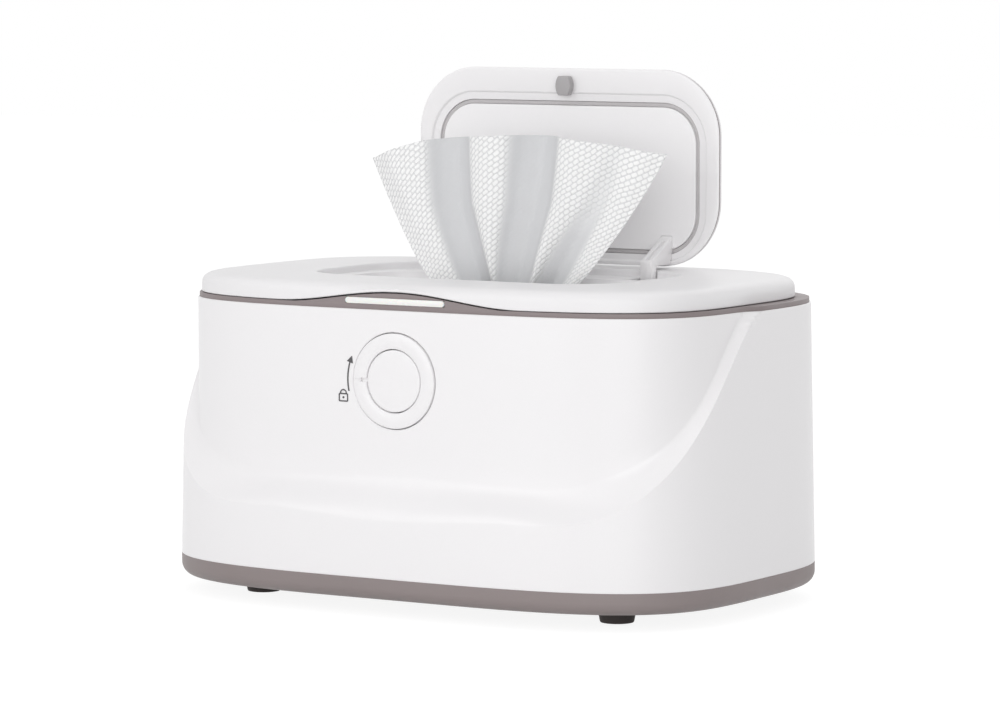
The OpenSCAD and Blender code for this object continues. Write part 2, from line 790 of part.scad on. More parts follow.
module temperature_sensor() {
    color([0.2, 0.2, 0.2])
        translate([cutout_x, tub_y + 5.5, tub_under - plate_t - 1.4]) {
            rotate([0, 90, 0])
                translate([0, 0, -2.5])
                    cylinder(r = 1.4, h = 5, $fn = small_fn);
        }
}
module control_board() {
    color([0.1, 0.4, 0.25])
        difference() {
            box(-board_w / 2, board_w / 2, board_y - board_d / 2, board_y + board_d / 2, board_z, board_top);
            translate([0, board_y, 0])
                four_ways(board_hole_x, board_hole_y)
                    translate([0, 0, board_z - 1])
                        cylinder(r = 1.1 + screw_gap, h = board_t + 2, $fn = small_fn);
        }
}
module board_components() {
    color([0.18, 0.18, 0.2]) {
        box(-22, -12, board_y - 12, board_y - 2, board_top, board_top + 1.6);
        box(8, 14, board_y - 14, board_y - 6, board_top, board_top + 1.4);
        box(-32, -24, board_y + 4, board_y + 10, board_top, board_top + 4);
    }
    color([0.3, 0.3, 0.35]) {
        for (x = [-10, 16])
            translate([x, board_y + 8, board_top])
                cylinder(r = 3, h = tall_part_h, $fn = small_fn);
        translate([24, board_y - 10, board_top])
            cylinder(r = 2.5, h = 6, $fn = small_fn);
    }
}
module board_screws() {
    color(steel)
        translate([0, board_y, 0])
            four_ways(board_hole_x, board_hole_y)
                translate([0, 0, board_top])
                    screw(2.2, 1.4, 1.1, board_t + 4);
}
module dc_socket() {
    color([0.1, 0.1, 0.1])
        difference() {
            union() {
                box(-4.5, 4.5, socket_face - socket_body, socket_face - 2.9, board_top, board_top + 11);
                translate([0, socket_face - 3.5, socket_z])
                    rotate([-90, 0, 0])
                        cylinder(r = socket_r, h = 3.5, $fn = arc_fn);
            }
            translate([0, socket_face - socket_depth, socket_z])
                rotate([-90, 0, 0])
                    cylinder(r = socket_bore, h = socket_depth + 1, $fn = arc_fn);
        }
    color(steel)
        translate([0, socket_face - socket_depth - 1, socket_z])
            rotate([-90, 0, 0])
                cylinder(r = socket_pin_r, h = socket_pin_len + 1, $fn = arc_fn);
}

// Leads, each along points chosen by hand, in the warmer's own frame
lead_r = 0.8;
film_edge = tub_y + plate_d / 2 - film_inset;
function lead_route(x) = [[x, film_edge + 0.1, film_z - 0.4], [x, film_edge + 4, film_z - 0.8],
    [x, film_edge + 8, film_z - 2], [x, film_edge + 13, film_z - 4], [x, film_edge + 16.5, film_z - 8],
    [x, film_edge + 18, film_z - 11], [x, film_edge + 18.5, film_z - 14], [x, film_edge + 18.5, board_top]];
function sensor_route(x) = [[cutout_x + x, tub_y - 3, tub_under - plate_t - 7],
    [cutout_x + x, tub_y - 1, tub_under - plate_t - 11], [cutout_x + x + 3, tub_y + 5, 23], [cutout_x + x + 9, 21, 22],
    [cutout_x + x + 17, board_y - 26, 22.3], [cutout_x + x + 23, board_y - 20.5, 22.8],
    [cutout_x + x + 27, board_y - 17, 22.3], [cutout_x + x + 28, board_y - 15.5, 20.6],
    [cutout_x + x + 28, board_y - 15.5, board_top]];
light_route = [[24.5, front_y + 4.7, 123], [27, front_y + 5.2, 123], [29, front_y + 6.4, 122.7],
    [30, front_y + 7.4, 121], [30, front_y + 7.6, 117], [30, front_y + 7.6, 110], [31, front_y + 8.1, 95],
    [32.5, front_y + 9.6, 75], [34, front_y + 11.6, 55], [35.5, front_y + 15.6, 40], [36.5, front_y + 21.6, 30],
    [37, front_y + 31.6, 24.5], [37, -28, 22], [36.5, -8, 21], [36, board_y - 42, 21], [35.5, board_y - 28, 22],
    [35, board_y - 21, 22.6], [34.6, board_y - 17.5, 22], [34.5, board_y - 16.2, 20.4],
    [34.5, board_y - 16.2, board_top]];
module heater_leads() {
    color([0.75, 0.12, 0.1])
        for (x = [lead_x - 2, lead_x + 2])
            wire(lead_route(x), lead_r, [1, 0, 0]);
}
module sensor_leads() {
    color([0.9, 0.9, 0.85])
        for (x = [-2, 2])
            wire(sensor_route(x), lead_r, [0.8, -0.6, 0]);
}
module light_leads() {
    color([0.2, 0.2, 0.2])
        wire(light_route, lead_r, [1, 0.5, 0]);
}
module light_bar() {
    color([0.97, 0.97, 0.95])
        translate([0, hump_front + light_depth - 0.8, light_z + light_h / 2])
            rotate([90, 0, 0])
                linear_extrude(light_depth - 0.8 + 0.3)
                    round_rect(light_w, light_h, light_h / 2 - 0.01);
}
module light_board() {
    y0 = hump_front + light_depth;
    color([0.1, 0.4, 0.25])
        box(-light_w / 2 - 1.7, light_w / 2 + 1.7, y0 + 0.05, y0 + light_board_t, frame_top + 0.1, light_z + light_h + 0.3);
    color([0.95, 0.95, 0.7])
        for (x = [-2:2])
            box(x * 9 - 1, x * 9 + 1, y0 - 0.6, y0 + 0.05, light_z + 0.6, light_z + 1.8);
}

// Screw points of the knob housing's four tabs, in X and Z
function tab_points() = [for (i = [-1, 1], j = [-1, 1])
    [i * tab_ring * cos(tab_angle), knob_z + j * tab_ring * sin(tab_angle)]];
module knob_housing() {
    color(frame_grey)
        difference() {
            union() {
                knob_disc(housing_r, housing_front, housing_back + housing_t);
                for (p = tab_points())
                    translate([p[0], 0, p[1] - knob_z])
                        knob_disc(tab_r, housing_front, housing_front + 2);
                box(-ear_out, ear_out, housing_back, housing_back + housing_t, lever_z - 6, lever_z + 8);
                both_sides()
                    box(ear_in, ear_out, housing_back, lever_y + 4, lever_z - 5, lever_z + 5);
            }
            knob_disc(housing_bore, housing_front - 1, ring_back + still_gap);
            knob_disc(button_flange_r + knob_gap, housing_front, housing_back);
            knob_disc(stem_r + slide_gap, housing_back - 1, housing_back + housing_t + 1);
            for (p = tab_points())
                translate([p[0], 0, p[1] - knob_z])
                    knob_disc(0.95 + screw_gap, housing_front - 1, housing_front + 3);
            box(-ear_in, ear_in, housing_back - 1, lever_y + 9, lever_z - 5, lever_z + 5);
            cross_rod(latch_pin_r + pin_gap, -ear_out - 1, ear_out + 1, lever_y, lever_z);
        }
}
module housing_screws() {
    color(steel)
        for (p = tab_points())
            translate([p[0], housing_front + 2, p[1]])
                rotate([-90, 0, 0])
                    screw(2, 1.4, 0.95, 2 + 0.2 + 1.2);
}
module lock_ring() {
    color(white)
        difference() {
            union() {
                knob_disc(ring_r, ring_front, ring_flange_y);
                knob_disc(ring_flange_r, ring_flange_y, ring_back);
            }
            knob_disc(ring_bore, ring_front - 1, ring_back + 1);
            translate([-ring_bore - 2.6, ring_front - 1, knob_z - 0.8])
                cube([3, 2.1, 1.6]);
            translate([-ring_r - 1, ring_front - 1, knob_z - 0.3])
                cube([ring_r - ring_bore, 1.4, 0.6]);
        }
}
module open_button() {
    color(white) {
        knob_disc(button_r, button_front, button_flange_y);
        knob_disc(button_flange_r, button_flange_y, button_back);
        knob_disc(stem_r, button_back, stem_end);
    }
}
module button_spring() {
    color(steel)
        translate([0, button_back + 0.05, knob_z])
            rotate([-90, 0, 0])
                spring(6.4, spring_len - 0.1, 4, 0.45);
}
module latch_lever() {
    color(inner_white)
        difference() {
            union() {
                box(-lever_half, lever_half, lever_face, lever_face + lever_t, lever_z, nose_z + nose_h);
                box(-lever_half, lever_half, lever_face - nose_len, lever_face + 0.1, nose_z, nose_z + nose_h);
                cross_rod(lever_boss, -lever_half, lever_half, lever_y, lever_z);
            }
            cross_rod(latch_pin_r + pin_gap, -lever_half - 1, lever_half + 1, lever_y, lever_z);
        }
}
module latch_pin() {
    color(steel)
        cross_rod(latch_pin_r, -ear_out - 0.5, ear_out + 5, lever_y, lever_z);
}
module latch_spring() {
    color(steel)
        translate([ear_out + 0.3, lever_y, lever_z])
            rotate([0, 90, 0])
                spring(latch_pin_r + 0.75, 4, 3, 0.35);
}

// Padlock and turning arrow beside the knob, a thin printed relief
print_t = 0.12;
lock_x = -23.7;
lock_z = 84.6 - 92.1 + knob_z;
module lock_symbols() {
    color(tray_grey)
        translate([0, front_y, 0])
            rotate([90, 0, 0])
                linear_extrude(print_t) {
                    translate([lock_x, lock_z]) {
                        difference() {
                            round_rect(4.4, 3.4, 0.6);
                            round_rect(3.4, 2.4, 0.3);
                        }
                        circle(0.45, $fn = small_fn);
                        difference() {
                            translate([0, 1.7])
                                circle(1.6, $fn = small_fn);
                            translate([0, 1.7])
                                circle(1.1, $fn = small_fn);
                            translate([-3, -2.3])
                                square([6, 4]);
                        }
                    }
                    translate([0, knob_z])
                        arrow_arc(ring_r + 2.9, 160, 193);
                }
}
module arrow_arc(r, from, to) {
    intersection() {
        difference() {
            circle(r + 0.3, $fn = arc_fn);
            circle(r - 0.3, $fn = arc_fn);
        }
        polygon([[0, 0], 2 * r * [cos(from), sin(from)], 2 * r * [cos((from + to) / 2), sin((from + to) / 2)],
            2 * r * [cos(to), sin(to)]]);
    }
    tip = from - 5;
    polygon([(r - 1.5) * [cos(from + 2.5), sin(from + 2.5)], (r + 1.5) * [cos(from + 2.5), sin(from + 2.5)],
        r * [cos(tip), sin(tip)]]);
}

module lid_hinge_pins() {
    color(steel)
        both_sides()
            cross_rod(hinge_pin_r, knuckle_x0 - hinge_side_gap - hinge_ear, knuckle_x1 + hinge_side_gap + hinge_ear,
                hinge_y, hinge_z);
}
module lid_shell() {
    a = lid_w / 2;
    b = lid_d / 2;
    // Inset and height of the rings, up the inside, over the lower edge and up the outside
    inner = [[6, lid_h - 2.3], [3.6, lid_h - 3.1], [lid_wall, lid_h - 5], [lid_wall, 0]];
    outer = [[0, 0], [0, lid_h - 4.9], [0.5, lid_h - 3], [1.5, lid_h - 1.6], [3.2, lid_h - 0.7],
        [6, lid_h - 0.2], [12, lid_h]];
    color(white)
        difference() {
            union() {
                difference() {
                    loft([for (e = concat(inner, outer)) plan_ring(a, b, lid_n, e[0], lid_z + e[1])]);
                    wave_prism(0, -b - 5, hump_front + hump_t + 0.5);
                }
                round_plate(recess_w + 2 * basin_wall, recess_d + hinge_room + 2 * basin_wall,
                    recess_r + basin_wall, lid_floor_z, lid_top - 1, recess_y + hinge_room / 2);
                both_sides() {
                    cross_rod(hinge_r, knuckle_x0, knuckle_x1, hinge_y, hinge_z);
                    box(knuckle_x0, knuckle_x1, b - 2, hinge_y, hinge_z - 1.6, hinge_z + 1.6);
                    for (x = [arm_x - lug_in - lug_t, arm_x + lug_in]) {
                        box(x, x + lug_t, flap_pivot_y - lug_half, flap_pivot_y + lug_half, flap_pivot_z,
                            lid_top - 1.5);
                        cross_rod(lug_r, x, x + lug_t, flap_pivot_y, flap_pivot_z);
                    }
                }
                translate([0, tub_y, lid_floor_z])
                    four_ways(liner_screw_x, liner_screw_y)
                        cylinder(r = 3, h = lid_h - 1.5, $fn = small_fn);
            }
            round_plate(recess_w, recess_d + hinge_room, recess_r, recess_z, lid_top + 1,
                recess_y + hinge_room / 2);
            round_plate(well_w, well_d, well_r, well_z, lid_top + 1, well_y);
            both_sides() {
                box(arm_x - arm_w / 2 - arm_slot_gap, arm_x + arm_w / 2 + arm_slot_gap, slot_front, slot_back,
                    lid_z - 2, lid_top + 1);
                box(arm_x - lug_in, arm_x + lug_in, slot_back - 1, flap_pivot_y + arm_boss + 1, lid_z - 2,
                    flap_pivot_z + arm_boss + 1.5);
                cross_rod(hinge_pin_r + pin_gap, knuckle_x0 - 1, knuckle_x1 + 1, hinge_y, hinge_z);
                cross_rod(flap_pin_r + pin_gap, arm_x - 12, arm_x + 12, flap_pivot_y, flap_pivot_z);
            }
            round_plate(slot_w + 2 * ring_wall, slot_d + 2 * ring_wall, slot_d / 2 + ring_wall,
                lid_z - 2, lid_top, slot_y);
            box(-pocket_w / 2, pocket_w / 2, pocket_y - catch_h / 2 - 1.6, pocket_y + catch_h / 2 + 1.6,
                well_z - 0.7, lid_top);
            translate([0, tub_y, lid_floor_z - 1])
                four_ways(liner_screw_x, liner_screw_y)
                    cylinder(r = 1.1 + pin_gap, h = 5, $fn = small_fn);
        }
}
module lid_liner() {
    color(inner_white)
        difference() {
            round_plate(rim_w, rim_d, rim_r, liner_z, lid_floor_z, tub_y);
            both_sides()
                box(arm_x - pocket_side, arm_x + pocket_side, slot_front - 2, flap_pivot_y + 6, liner_z - 1, lid_z + 1);
            round_plate(slot_w + 2 * ring_wall, slot_d + 2 * ring_wall, slot_d / 2 + ring_wall,
                liner_z - 1, lid_z + 1, slot_y);
            translate([0, tub_y, liner_z - 1])
                four_ways(liner_screw_x, liner_screw_y)
                    cylinder(r = 1.1 + screw_gap, h = liner_t + 2, $fn = small_fn);
        }
}
module lid_gasket() {
    color(soft_grey)
        difference() {
            round_plate(rim_w - 2 * gasket_in, rim_d - 2 * gasket_in, rim_r - gasket_in, gasket_z, liner_z, tub_y);
            round_plate(rim_w - 2 * gasket_w, rim_d - 2 * gasket_w, rim_r - gasket_w, gasket_z - 1, liner_z + 1, tub_y);
        }
}
module liner_screws() {
    color(steel)
        translate([0, tub_y, liner_z])
            four_ways(liner_screw_x, liner_screw_y)
                mirror([0, 0, 1])
                    screw(2.2, 1.3, 1.1, liner_t + 3.5);
}
module lid_catch() {
    top = lid_z + lid_h - 2.3;
    color(inner_white) {
        box(-7, 7, tongue_y, tongue_y + 9, top - 2.5, top);
        box(-5, 5, tongue_y, tongue_y + tongue_t, tongue_z, top);
        box(-5, 5, tongue_y, barb_y, tongue_z, tongue_z + barb_h);
    }
}
module dispenser_ring() {
    color(inner_white)
        difference() {
            union() {
                round_plate(slot_w + 2 * ring_wall - 0.2, slot_d + 2 * ring_wall - 0.2, slot_d / 2 + ring_wall - 0.1,
                    liner_z, well_z, slot_y);
                round_plate(slot_w + 2 * ring_wall + 2, slot_d + 2 * ring_wall + 2, slot_d / 2 + ring_wall + 1,
                    well_z, well_z + 0.6, slot_y);
            }
            round_plate(slot_w, slot_d, slot_d / 2, liner_z - 1, well_z + 2, slot_y);
        }
}
module flap_hinge_pins() {
    reach = lug_in + lug_t;
    color(steel)
        both_sides()
            cross_rod(flap_pin_r, arm_x - reach, arm_x + reach, flap_pivot_y, flap_pivot_z);
}
module flap_keeper() {
    y0 = pocket_y - catch_h / 2 - 1.6;
    color(soft_grey)
        box(-pocket_w / 2 + 0.1, pocket_w / 2 - 0.1, y0, y0 + 1, well_z - 0.7, recess_z - 0.4);
}

// The wipe: a pleated sheet that fans out above the slot
wipe_t = 0.8;
wipe_cols = 40;
wipe_rows = 10;
wipe_tail = 12;
wipe_fold = 3;
wipe_swell = 6;
wipe_period = 0.594;
wipe_shift = 0.16;
// It leans on the slot's back wall
wipe_y = slot_y + slot_d / 2 - still_gap - wipe_t / 2 - wipe_fold;
function wipe_point(u, v, side) = let (
    rise = max(0, v),
    half = neck_w / 2 + (wipe_w - neck_w) / 2 * pow(rise, 1.15),
    tall = wipe_h - 9 * pow(abs(u), 4),
    fold = -(wipe_fold + wipe_swell * rise) * cos(360 * (u + wipe_shift) / wipe_period)
        * (1 - 0.5 * pow(abs(u), 6)))
    [half * u, wipe_y + fold + side * wipe_t / 2,
        well_z + (v < 0 ? v * wipe_tail : v * tall)];
module wipe_sheet() {
    vs = concat([-1, 0], [for (j = [1:wipe_rows]) j / wipe_rows]);
    rings = [for (v = vs) concat(
        [for (i = [0:wipe_cols]) wipe_point(2 * i / wipe_cols - 1, v, -1)],
        [for (i = [wipe_cols:-1:0]) wipe_point(2 * i / wipe_cols - 1, v, 1)])];
    n = 2 * (wipe_cols + 1);
    m = len(rings);
    sides = [for (k = [0:m - 2], i = [0:n - 1]) let (j = (i + 1) % n) each [
        [k * n + i, (k + 1) * n + i, (k + 1) * n + j], [k * n + i, (k + 1) * n + j, k * n + j]]];
    ends = [for (i = [0:wipe_cols - 1]) let (t = (m - 1) * n) each [
        [i, i + 1, n - 2 - i], [i, n - 2 - i, n - 1 - i],
        [t + i, t + n - 2 - i, t + i + 1], [t + i, t + n - 1 - i, t + n - 2 - i]]];
    color([0.93, 0.96, 0.98])
        polyhedron(points = [for (ring = rings) each ring], faces = concat(sides, ends));
}

// Outline of a rounded rectangle for lofts, standing in the flap's plane
function rr_points(w, d, r, k = 8) = [for (c = [0:3], i = [0:k])
    let (a = 90 * c + 90 * i / k, sx = (c == 0 || c == 3) ? 1 : -1, sy = (c < 2) ? 1 : -1)
    [sx * (w / 2 - r) + r * cos(a), sy * (d / 2 - r) + r * sin(a)]];
module flap_shell() {
    mid = (flap_bottom + flap_top) / 2;
    // Inset and distance behind the inner face
    steps = [[0.5, 0], [0, 0.5], [0, flap_edge], [0.8, flap_edge + 0.9], [3, flap_edge + 1.7],
        [8, flap_edge + 2.3], [18, flap_edge + flap_crown]];
    color(white)
        difference() {
            loft([for (e = steps) [for (p = rr_points(flap_w - 2 * e[0], flap_len - 2 * e[0], max(flap_r - e[0], 6)))
                [-p[0], flap_face_y + e[1], mid + p[1]]]]);
            flap_dish();
            flap_slab(0, 0.1, dish_depth + panel_t);
        }
}
// The sunken middle, with sloped walls
module flap_dish() {
    w = flap_w - 2 * dish_side;
    len = flap_len - dish_top - dish_bottom;
    mid = flap_bottom + dish_bottom + len / 2;
    loft([for (e = [[0, -0.5], [0, 0], [dish_slope, dish_depth]])
        [for (p = rr_points(w - 2 * e[0], len - 2 * e[0], dish_r - e[0])) [-p[0], flap_face_y + e[1], mid + p[1]]]]);
}
// A slab of the panel's pocket, drawn in from its edge, from distance a to distance b behind the inner face
module flap_slab(inset, a, b) {
    translate([0, flap_face_y + b, panel_mid])
        rotate([90, 0, 0])
            linear_extrude(b - a)
                round_rect(panel_w - 2 * inset, panel_len - 2 * inset, panel_r - inset);
}
// Room for the feet of the arms
module foot_room() {
    both_sides()
        box(arm_x - arm_w / 2 - 0.1, arm_x + arm_w / 2 + 0.1, flap_face_y - 1, flap_face_y + dish_depth + panel_t + 1,
            flap_bottom, arm_pad_z + 0.1);
}
module flap_panel() {
    color(inner_white)
        difference() {
            flap_slab(seal_w + glue_gap, dish_depth, dish_depth + panel_t - glue_gap);
            foot_room();
        }
}
module flap_seal() {
    color(soft_grey)
        difference() {
            flap_slab(glue_gap, dish_depth + seal_sunk, dish_depth + panel_t - glue_gap);
            flap_slab(seal_w, 0, dish_depth + panel_t + 1);
            foot_room();
        }
}
module flap_catch() {
    color(soft_grey)
        translate([0, flap_face_y, catch_z])
            rotate([90, 0, 0])
                linear_extrude(catch_proud)
                    intersection() {
                        translate([-catch_w / 2, 0])
                            circle(catch_w, $fn = arc_fn);
                        translate([catch_w / 2, 0])
                            circle(catch_w, $fn = arc_fn);
                        square([catch_w, catch_h], center = true);
                    }
}
// A straight bar of the arm's profile between two points in Y and Z, or of a part of its thickness
module arm_bar(p, q, low = -arm_t / 2, high = arm_t / 2) {
    translate(p)
        rotate(atan2(q[1] - p[1], q[0] - p[0]))
            translate([0, low])
                square([norm(q - p), high - low]);
}
module flap_arms() {
    floor_y = flap_face_y + dish_depth + panel_t;
    web_z = flap_bottom + 1;
    color(white)
        both_sides()
            difference() {
                translate([arm_x - arm_w / 2, 0, 0])
                    rotate([90, 0, 90])
                        linear_extrude(arm_w)
                            difference() {
                                union() {
                                    arm_bar(arm_foot + 0.3 * (arm_foot - arm_elbow), arm_elbow);
                                    polygon([arm_elbow, arm_foot, [arm_pad_y, arm_pad_z], [floor_y, arm_pad_z],
                                        [floor_y, web_z], [arm_elbow[0], web_z]]);
                                    arm_bar(arm_elbow, arm_heel);
                                    arm_bar(arm_heel, [flap_pivot_y, flap_pivot_z]);
                                    for (p = [arm_elbow, arm_heel])
                                        translate(p)
                                            circle(arm_t / 2, $fn = small_fn);
                                    translate([flap_pivot_y, flap_pivot_z])
                                        circle(arm_boss, $fn = small_fn);
                                }
                                translate([flap_face_y - glue_gap, flap_bottom - 5])
                                    square([20, 5 + dish_bottom + dish_slope + 0.6]);
                                translate([arm_pad_y - glue_gap, flap_bottom])
                                    square([20, panel_bottom + 0.7]);
                                translate([floor_y - glue_gap, flap_bottom])
                                    square([20, 30]);
                                translate([flap_face_y - 1, arm_pad_z])
                                    square([20, 30]);
                            }
                cross_rod(flap_pin_r + pin_gap, arm_x - 10, arm_x + 10, flap_pivot_y, flap_pivot_z);
                translate([arm_x - arm_w * 0.16, 0, 0])
                    rotate([90, 0, 90])
                        linear_extrude(arm_w * 0.32)
                            arm_bar(arm_foot, arm_elbow, -arm_t, 1.2 - arm_t / 2);
            }
}

outer_casing();
base_cover();
rubber_feet();
base_screws();
top_frame();
frame_screws();
wipe_tub();
heater_plate();
heating_film();
insulation_pad();
heater_cover();
heater_screws();
thermostat();
temperature_sensor();
control_board();
board_components();
board_screws();
dc_socket();
heater_leads();
sensor_leads();
light_leads();
light_bar();
light_board();
knob_housing();
housing_screws();
lock_ring();
open_button();
button_spring();
latch_lever();
latch_pin();
latch_spring();
lock_symbols();
lid_hinge_pins();
lid_shell();
lid_liner();
lid_gasket();
liner_screws();
lid_catch();
dispenser_ring();
flap_hinge_pins();
flap_keeper();
wipe_sheet();
flap_shell();
flap_panel();
flap_seal();
flap_catch();
flap_arms();
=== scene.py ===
"""Looks of a baby wipe warmer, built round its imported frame. Metres, +X right, +Y back, +Z up."""

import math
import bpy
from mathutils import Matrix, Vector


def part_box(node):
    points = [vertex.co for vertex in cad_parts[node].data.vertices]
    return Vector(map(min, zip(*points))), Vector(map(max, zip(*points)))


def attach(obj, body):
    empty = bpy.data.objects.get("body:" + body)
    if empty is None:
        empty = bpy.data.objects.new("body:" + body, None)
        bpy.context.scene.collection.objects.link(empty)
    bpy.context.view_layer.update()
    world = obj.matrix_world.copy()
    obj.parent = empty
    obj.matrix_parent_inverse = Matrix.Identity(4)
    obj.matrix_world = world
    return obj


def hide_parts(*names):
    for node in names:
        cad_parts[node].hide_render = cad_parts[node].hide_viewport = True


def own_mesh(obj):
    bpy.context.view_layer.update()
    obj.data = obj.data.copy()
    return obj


bl_info = {
    "name": "Baby wipe warmer",
    "version": (1, 0, 0),
    "blender": (4, 5, 0),
    "location": "View3D > Sidebar > Wipe warmer",
    "description": "Builds the finished surfaces of a wipe warmer round its working frame",
    "category": "Object",
}

import bpy
import numpy as np
from bpy.props import FloatProperty, FloatVectorProperty, IntProperty, PointerProperty
from mathutils import Vector

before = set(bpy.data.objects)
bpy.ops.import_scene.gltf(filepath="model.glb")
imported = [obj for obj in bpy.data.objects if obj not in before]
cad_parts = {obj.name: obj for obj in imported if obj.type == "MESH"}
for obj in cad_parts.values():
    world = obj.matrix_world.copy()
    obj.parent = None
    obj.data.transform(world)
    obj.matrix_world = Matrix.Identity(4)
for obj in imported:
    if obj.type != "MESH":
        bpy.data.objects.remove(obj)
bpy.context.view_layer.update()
MM = 0.001
QUARTER_TURN = math.pi / 2
CASING_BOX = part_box("outer_casing")
TRAY_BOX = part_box("base_cover")
LID_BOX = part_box("lid_shell")


def length(name, description, default, low=0.0, high=1.0):
    """A property for a length in metres."""
    return FloatProperty(name=name, description=description, default=default, min=low, max=high,
                         unit="LENGTH", precision=5)


def number(name, description, default, low=0.0, high=100.0):
    """A property for a plain number."""
    return FloatProperty(name=name, description=description, default=default, min=low, max=high)


def tint(name, description, default):
    """A property for a colour."""
    return FloatVectorProperty(name=name, description=description, default=default, size=3,
                               min=0.0, max=1.0, subtype="COLOR")


def point(name, description, default):
    """A property for a point."""
    return FloatVectorProperty(name=name, description=description, default=default, size=3,
                               subtype="TRANSLATION", unit="LENGTH", precision=5)


class CasingSettings(bpy.types.PropertyGroup):
    """Sizes of the white casing and of the tray."""

    width: length("Width", "Width at the lower edge", 0.25)
    depth: length("Depth", "Depth at the lower edge", 0.1695)
    low: length("Lower edge", "Height of the lower edge", CASING_BOX[0].z)
    top: length("Upper edge", "Height of the upper edge", CASING_BOX[1].z)
    wall: length("Wall", "Thickness of the wall", 0.0025)
    draft: length("Draft", "How far each side leans in", 0.0019)
    squareness: number("Squareness", "Squareness of the lower plan", 3.55)
    upper_squareness: number("Upper squareness", "Squareness of the inset plan", 3.75)
    inset_side: length("Side inset", "How far the upper part is set in at the sides", 0.00615)
    inset_front: length("Front inset", "How far the upper part is set back in front", 0.00915)
    crest: length("Ledge height", "Height of the ledge above the lower edge", 0.0252)
    dip: length("Ledge dip", "How far the ledge sinks in the middle of the front", 0.003)
    ledge_side: length("Ledge at the sides", "Height of the ledge's slope at the sides", 0.0038)
    ledge_corner: length("Ledge at the corners", "What the slope gains at the front corners", 0.0092)
    ledge_front: length("Ledge in front", "What the slope gains in the middle of the front", 0.005)
    inlet_height: length("Inlet height", "Height of the hole for the inlet", 0.025)
    inlet_radius: length("Inlet radius", "Radius of the hole for the inlet", 0.0051)
    steps: IntProperty(name="Steps", description="Points round the casing", default=288, min=64, max=512)


class TraySettings(bpy.types.PropertyGroup):
    """Sizes of the tray and its feet."""

    rounding: length("Rounding", "Radius of the tray's lower edge", 0.005)
    wall: length("Wall", "Thickness of the tray's floor and wall", 0.0022)
    screw_x: length("Screw X", "Distance of the screws from the middle along X", 0.094)
    screw_y: length("Screw Y", "Distance of the screws from the middle along Y", 0.058)
    screw_radius: length("Screw radius", "Radius of the holes for the screws", 0.0031)
    foot_x: length("Foot X", "Distance of the feet from the middle along X", 0.0832)
    foot_y: length("Foot Y", "Distance of the feet from the middle along Y", 0.0451)
    steps: IntProperty(name="Steps", description="Points round the tray", default=224, min=64, max=512)


class LidSettings(bpy.types.PropertyGroup):
    """Sizes of the main lid."""

    low: length("Lower edge", "Height of the lid's lower edge", LID_BOX[1].z - 0.0082)
    height: length("Height", "Height of the lid", 0.0082)
    width: length("Width", "Width of the lid", 0.2335)
    depth: length("Depth", "Depth of the lid", 0.1504)
    squareness: number("Squareness", "Squareness of the lid's plan", 3.8)
    wall: length("Wall", "Thickness of the lid's wall", 0.0022)
    wave: length("Wave", "Rise of the wave in the front edge", 0.005)
    wave_half: length("Wave half width", "Half the width of the wave", 0.057)
    sink: length("Recess depth", "How far the recess's floor lies below the lid's top", 0.0031)
    well_sink: length("Well depth", "How far the well's floor lies below the recess's floor", 0.003)
    flap_axis_y: length("Flap hinge Y", "Place of the flap's hinge along Y", 0.0494)
    flap_axis_z: length("Flap hinge Z", "Height of the flap's hinge", 0.1216)
    steps: IntProperty(name="Steps", description="Points round the lid", default=320, min=64, max=640)


class KnobSettings(bpy.types.PropertyGroup):
    """Sizes of the lock ring and the button."""

    height: length("Height", "Height of the knob's centre", 0.0921)
    ring_radius: length("Ring radius", "Outer radius of the lock ring", 0.0187)
    ring_bore: length("Ring bore", "Radius of the hole in the lock ring", 0.0126)
    ring_front: length("Ring front", "Place of the ring's face along Y", -0.0762, -1.0)
    button_radius: length("Button radius", "Radius of the button", 0.0122)
    button_front: length("Button front", "Place of the button's face along Y", -0.0760, -1.0)
    edge: length("Edge", "Rounding of the ring's and the button's edges", 0.0004)
    hole_gap: length("Gap", "Gap between the ring and the casing", 0.0004)
    press: length("Press", "How far the button moves and shortens its spring", 0.0021)


class FlapSettings(bpy.types.PropertyGroup):
    """Sizes of the dispensing flap."""

    width: length("Width", "Width of the flap", 0.1435)
    height: length("Height", "Height of the open flap", 0.0801)
    radius: length("Corner radius", "Radius of the flap's corners", 0.027)
    face: length("Inner face", "Place of the inner face along Y", 0.0551)
    bottom: length("Lower edge", "Height of the open flap's lower edge", 0.1309)
    edge: length("Edge", "Thickness at the edge", 0.0022)
    crown: length("Crown", "Rise of the crown behind the edge", 0.0026)
    seam: length("Seam", "Width of the seam between the flap's two halves", 0.0011)
    dish_side: length("Dish side", "Distance of the sunken middle from the flap's sides", 0.0057)
    dish_top: length("Dish top", "Distance of the sunken middle from the free edge", 0.0098)
    dish_bottom: length("Dish bottom", "Distance of the sunken middle from the hinge edge", 0.0016)
    dish_radius: length("Dish radius", "Radius of the sunken middle's corners", 0.021)
    dish_depth: length("Dish depth", "How far the middle is sunk", 0.0009)
    panel_side: length("Panel side", "Distance of the panel's pocket from the flap's sides", 0.0094)
    panel_top: length("Panel top", "Distance of the panel's pocket from the free edge", 0.0134)
    panel_bottom: length("Panel bottom", "Distance of the panel's pocket from the hinge edge", 0.0046)
    panel_radius: length("Panel radius", "Radius of the pocket's corners", 0.017)
    panel_thickness: length("Panel thickness", "Thickness of the panel", 0.0018)
    groove: length("Groove", "Width of the groove round the panel", 0.0018)
    arm_place: length("Arm place", "Distance of each arm from the middle", 0.047)
    arm_reach: length("Arm reach", "Height of an arm's foot above the lower edge", 0.0125)


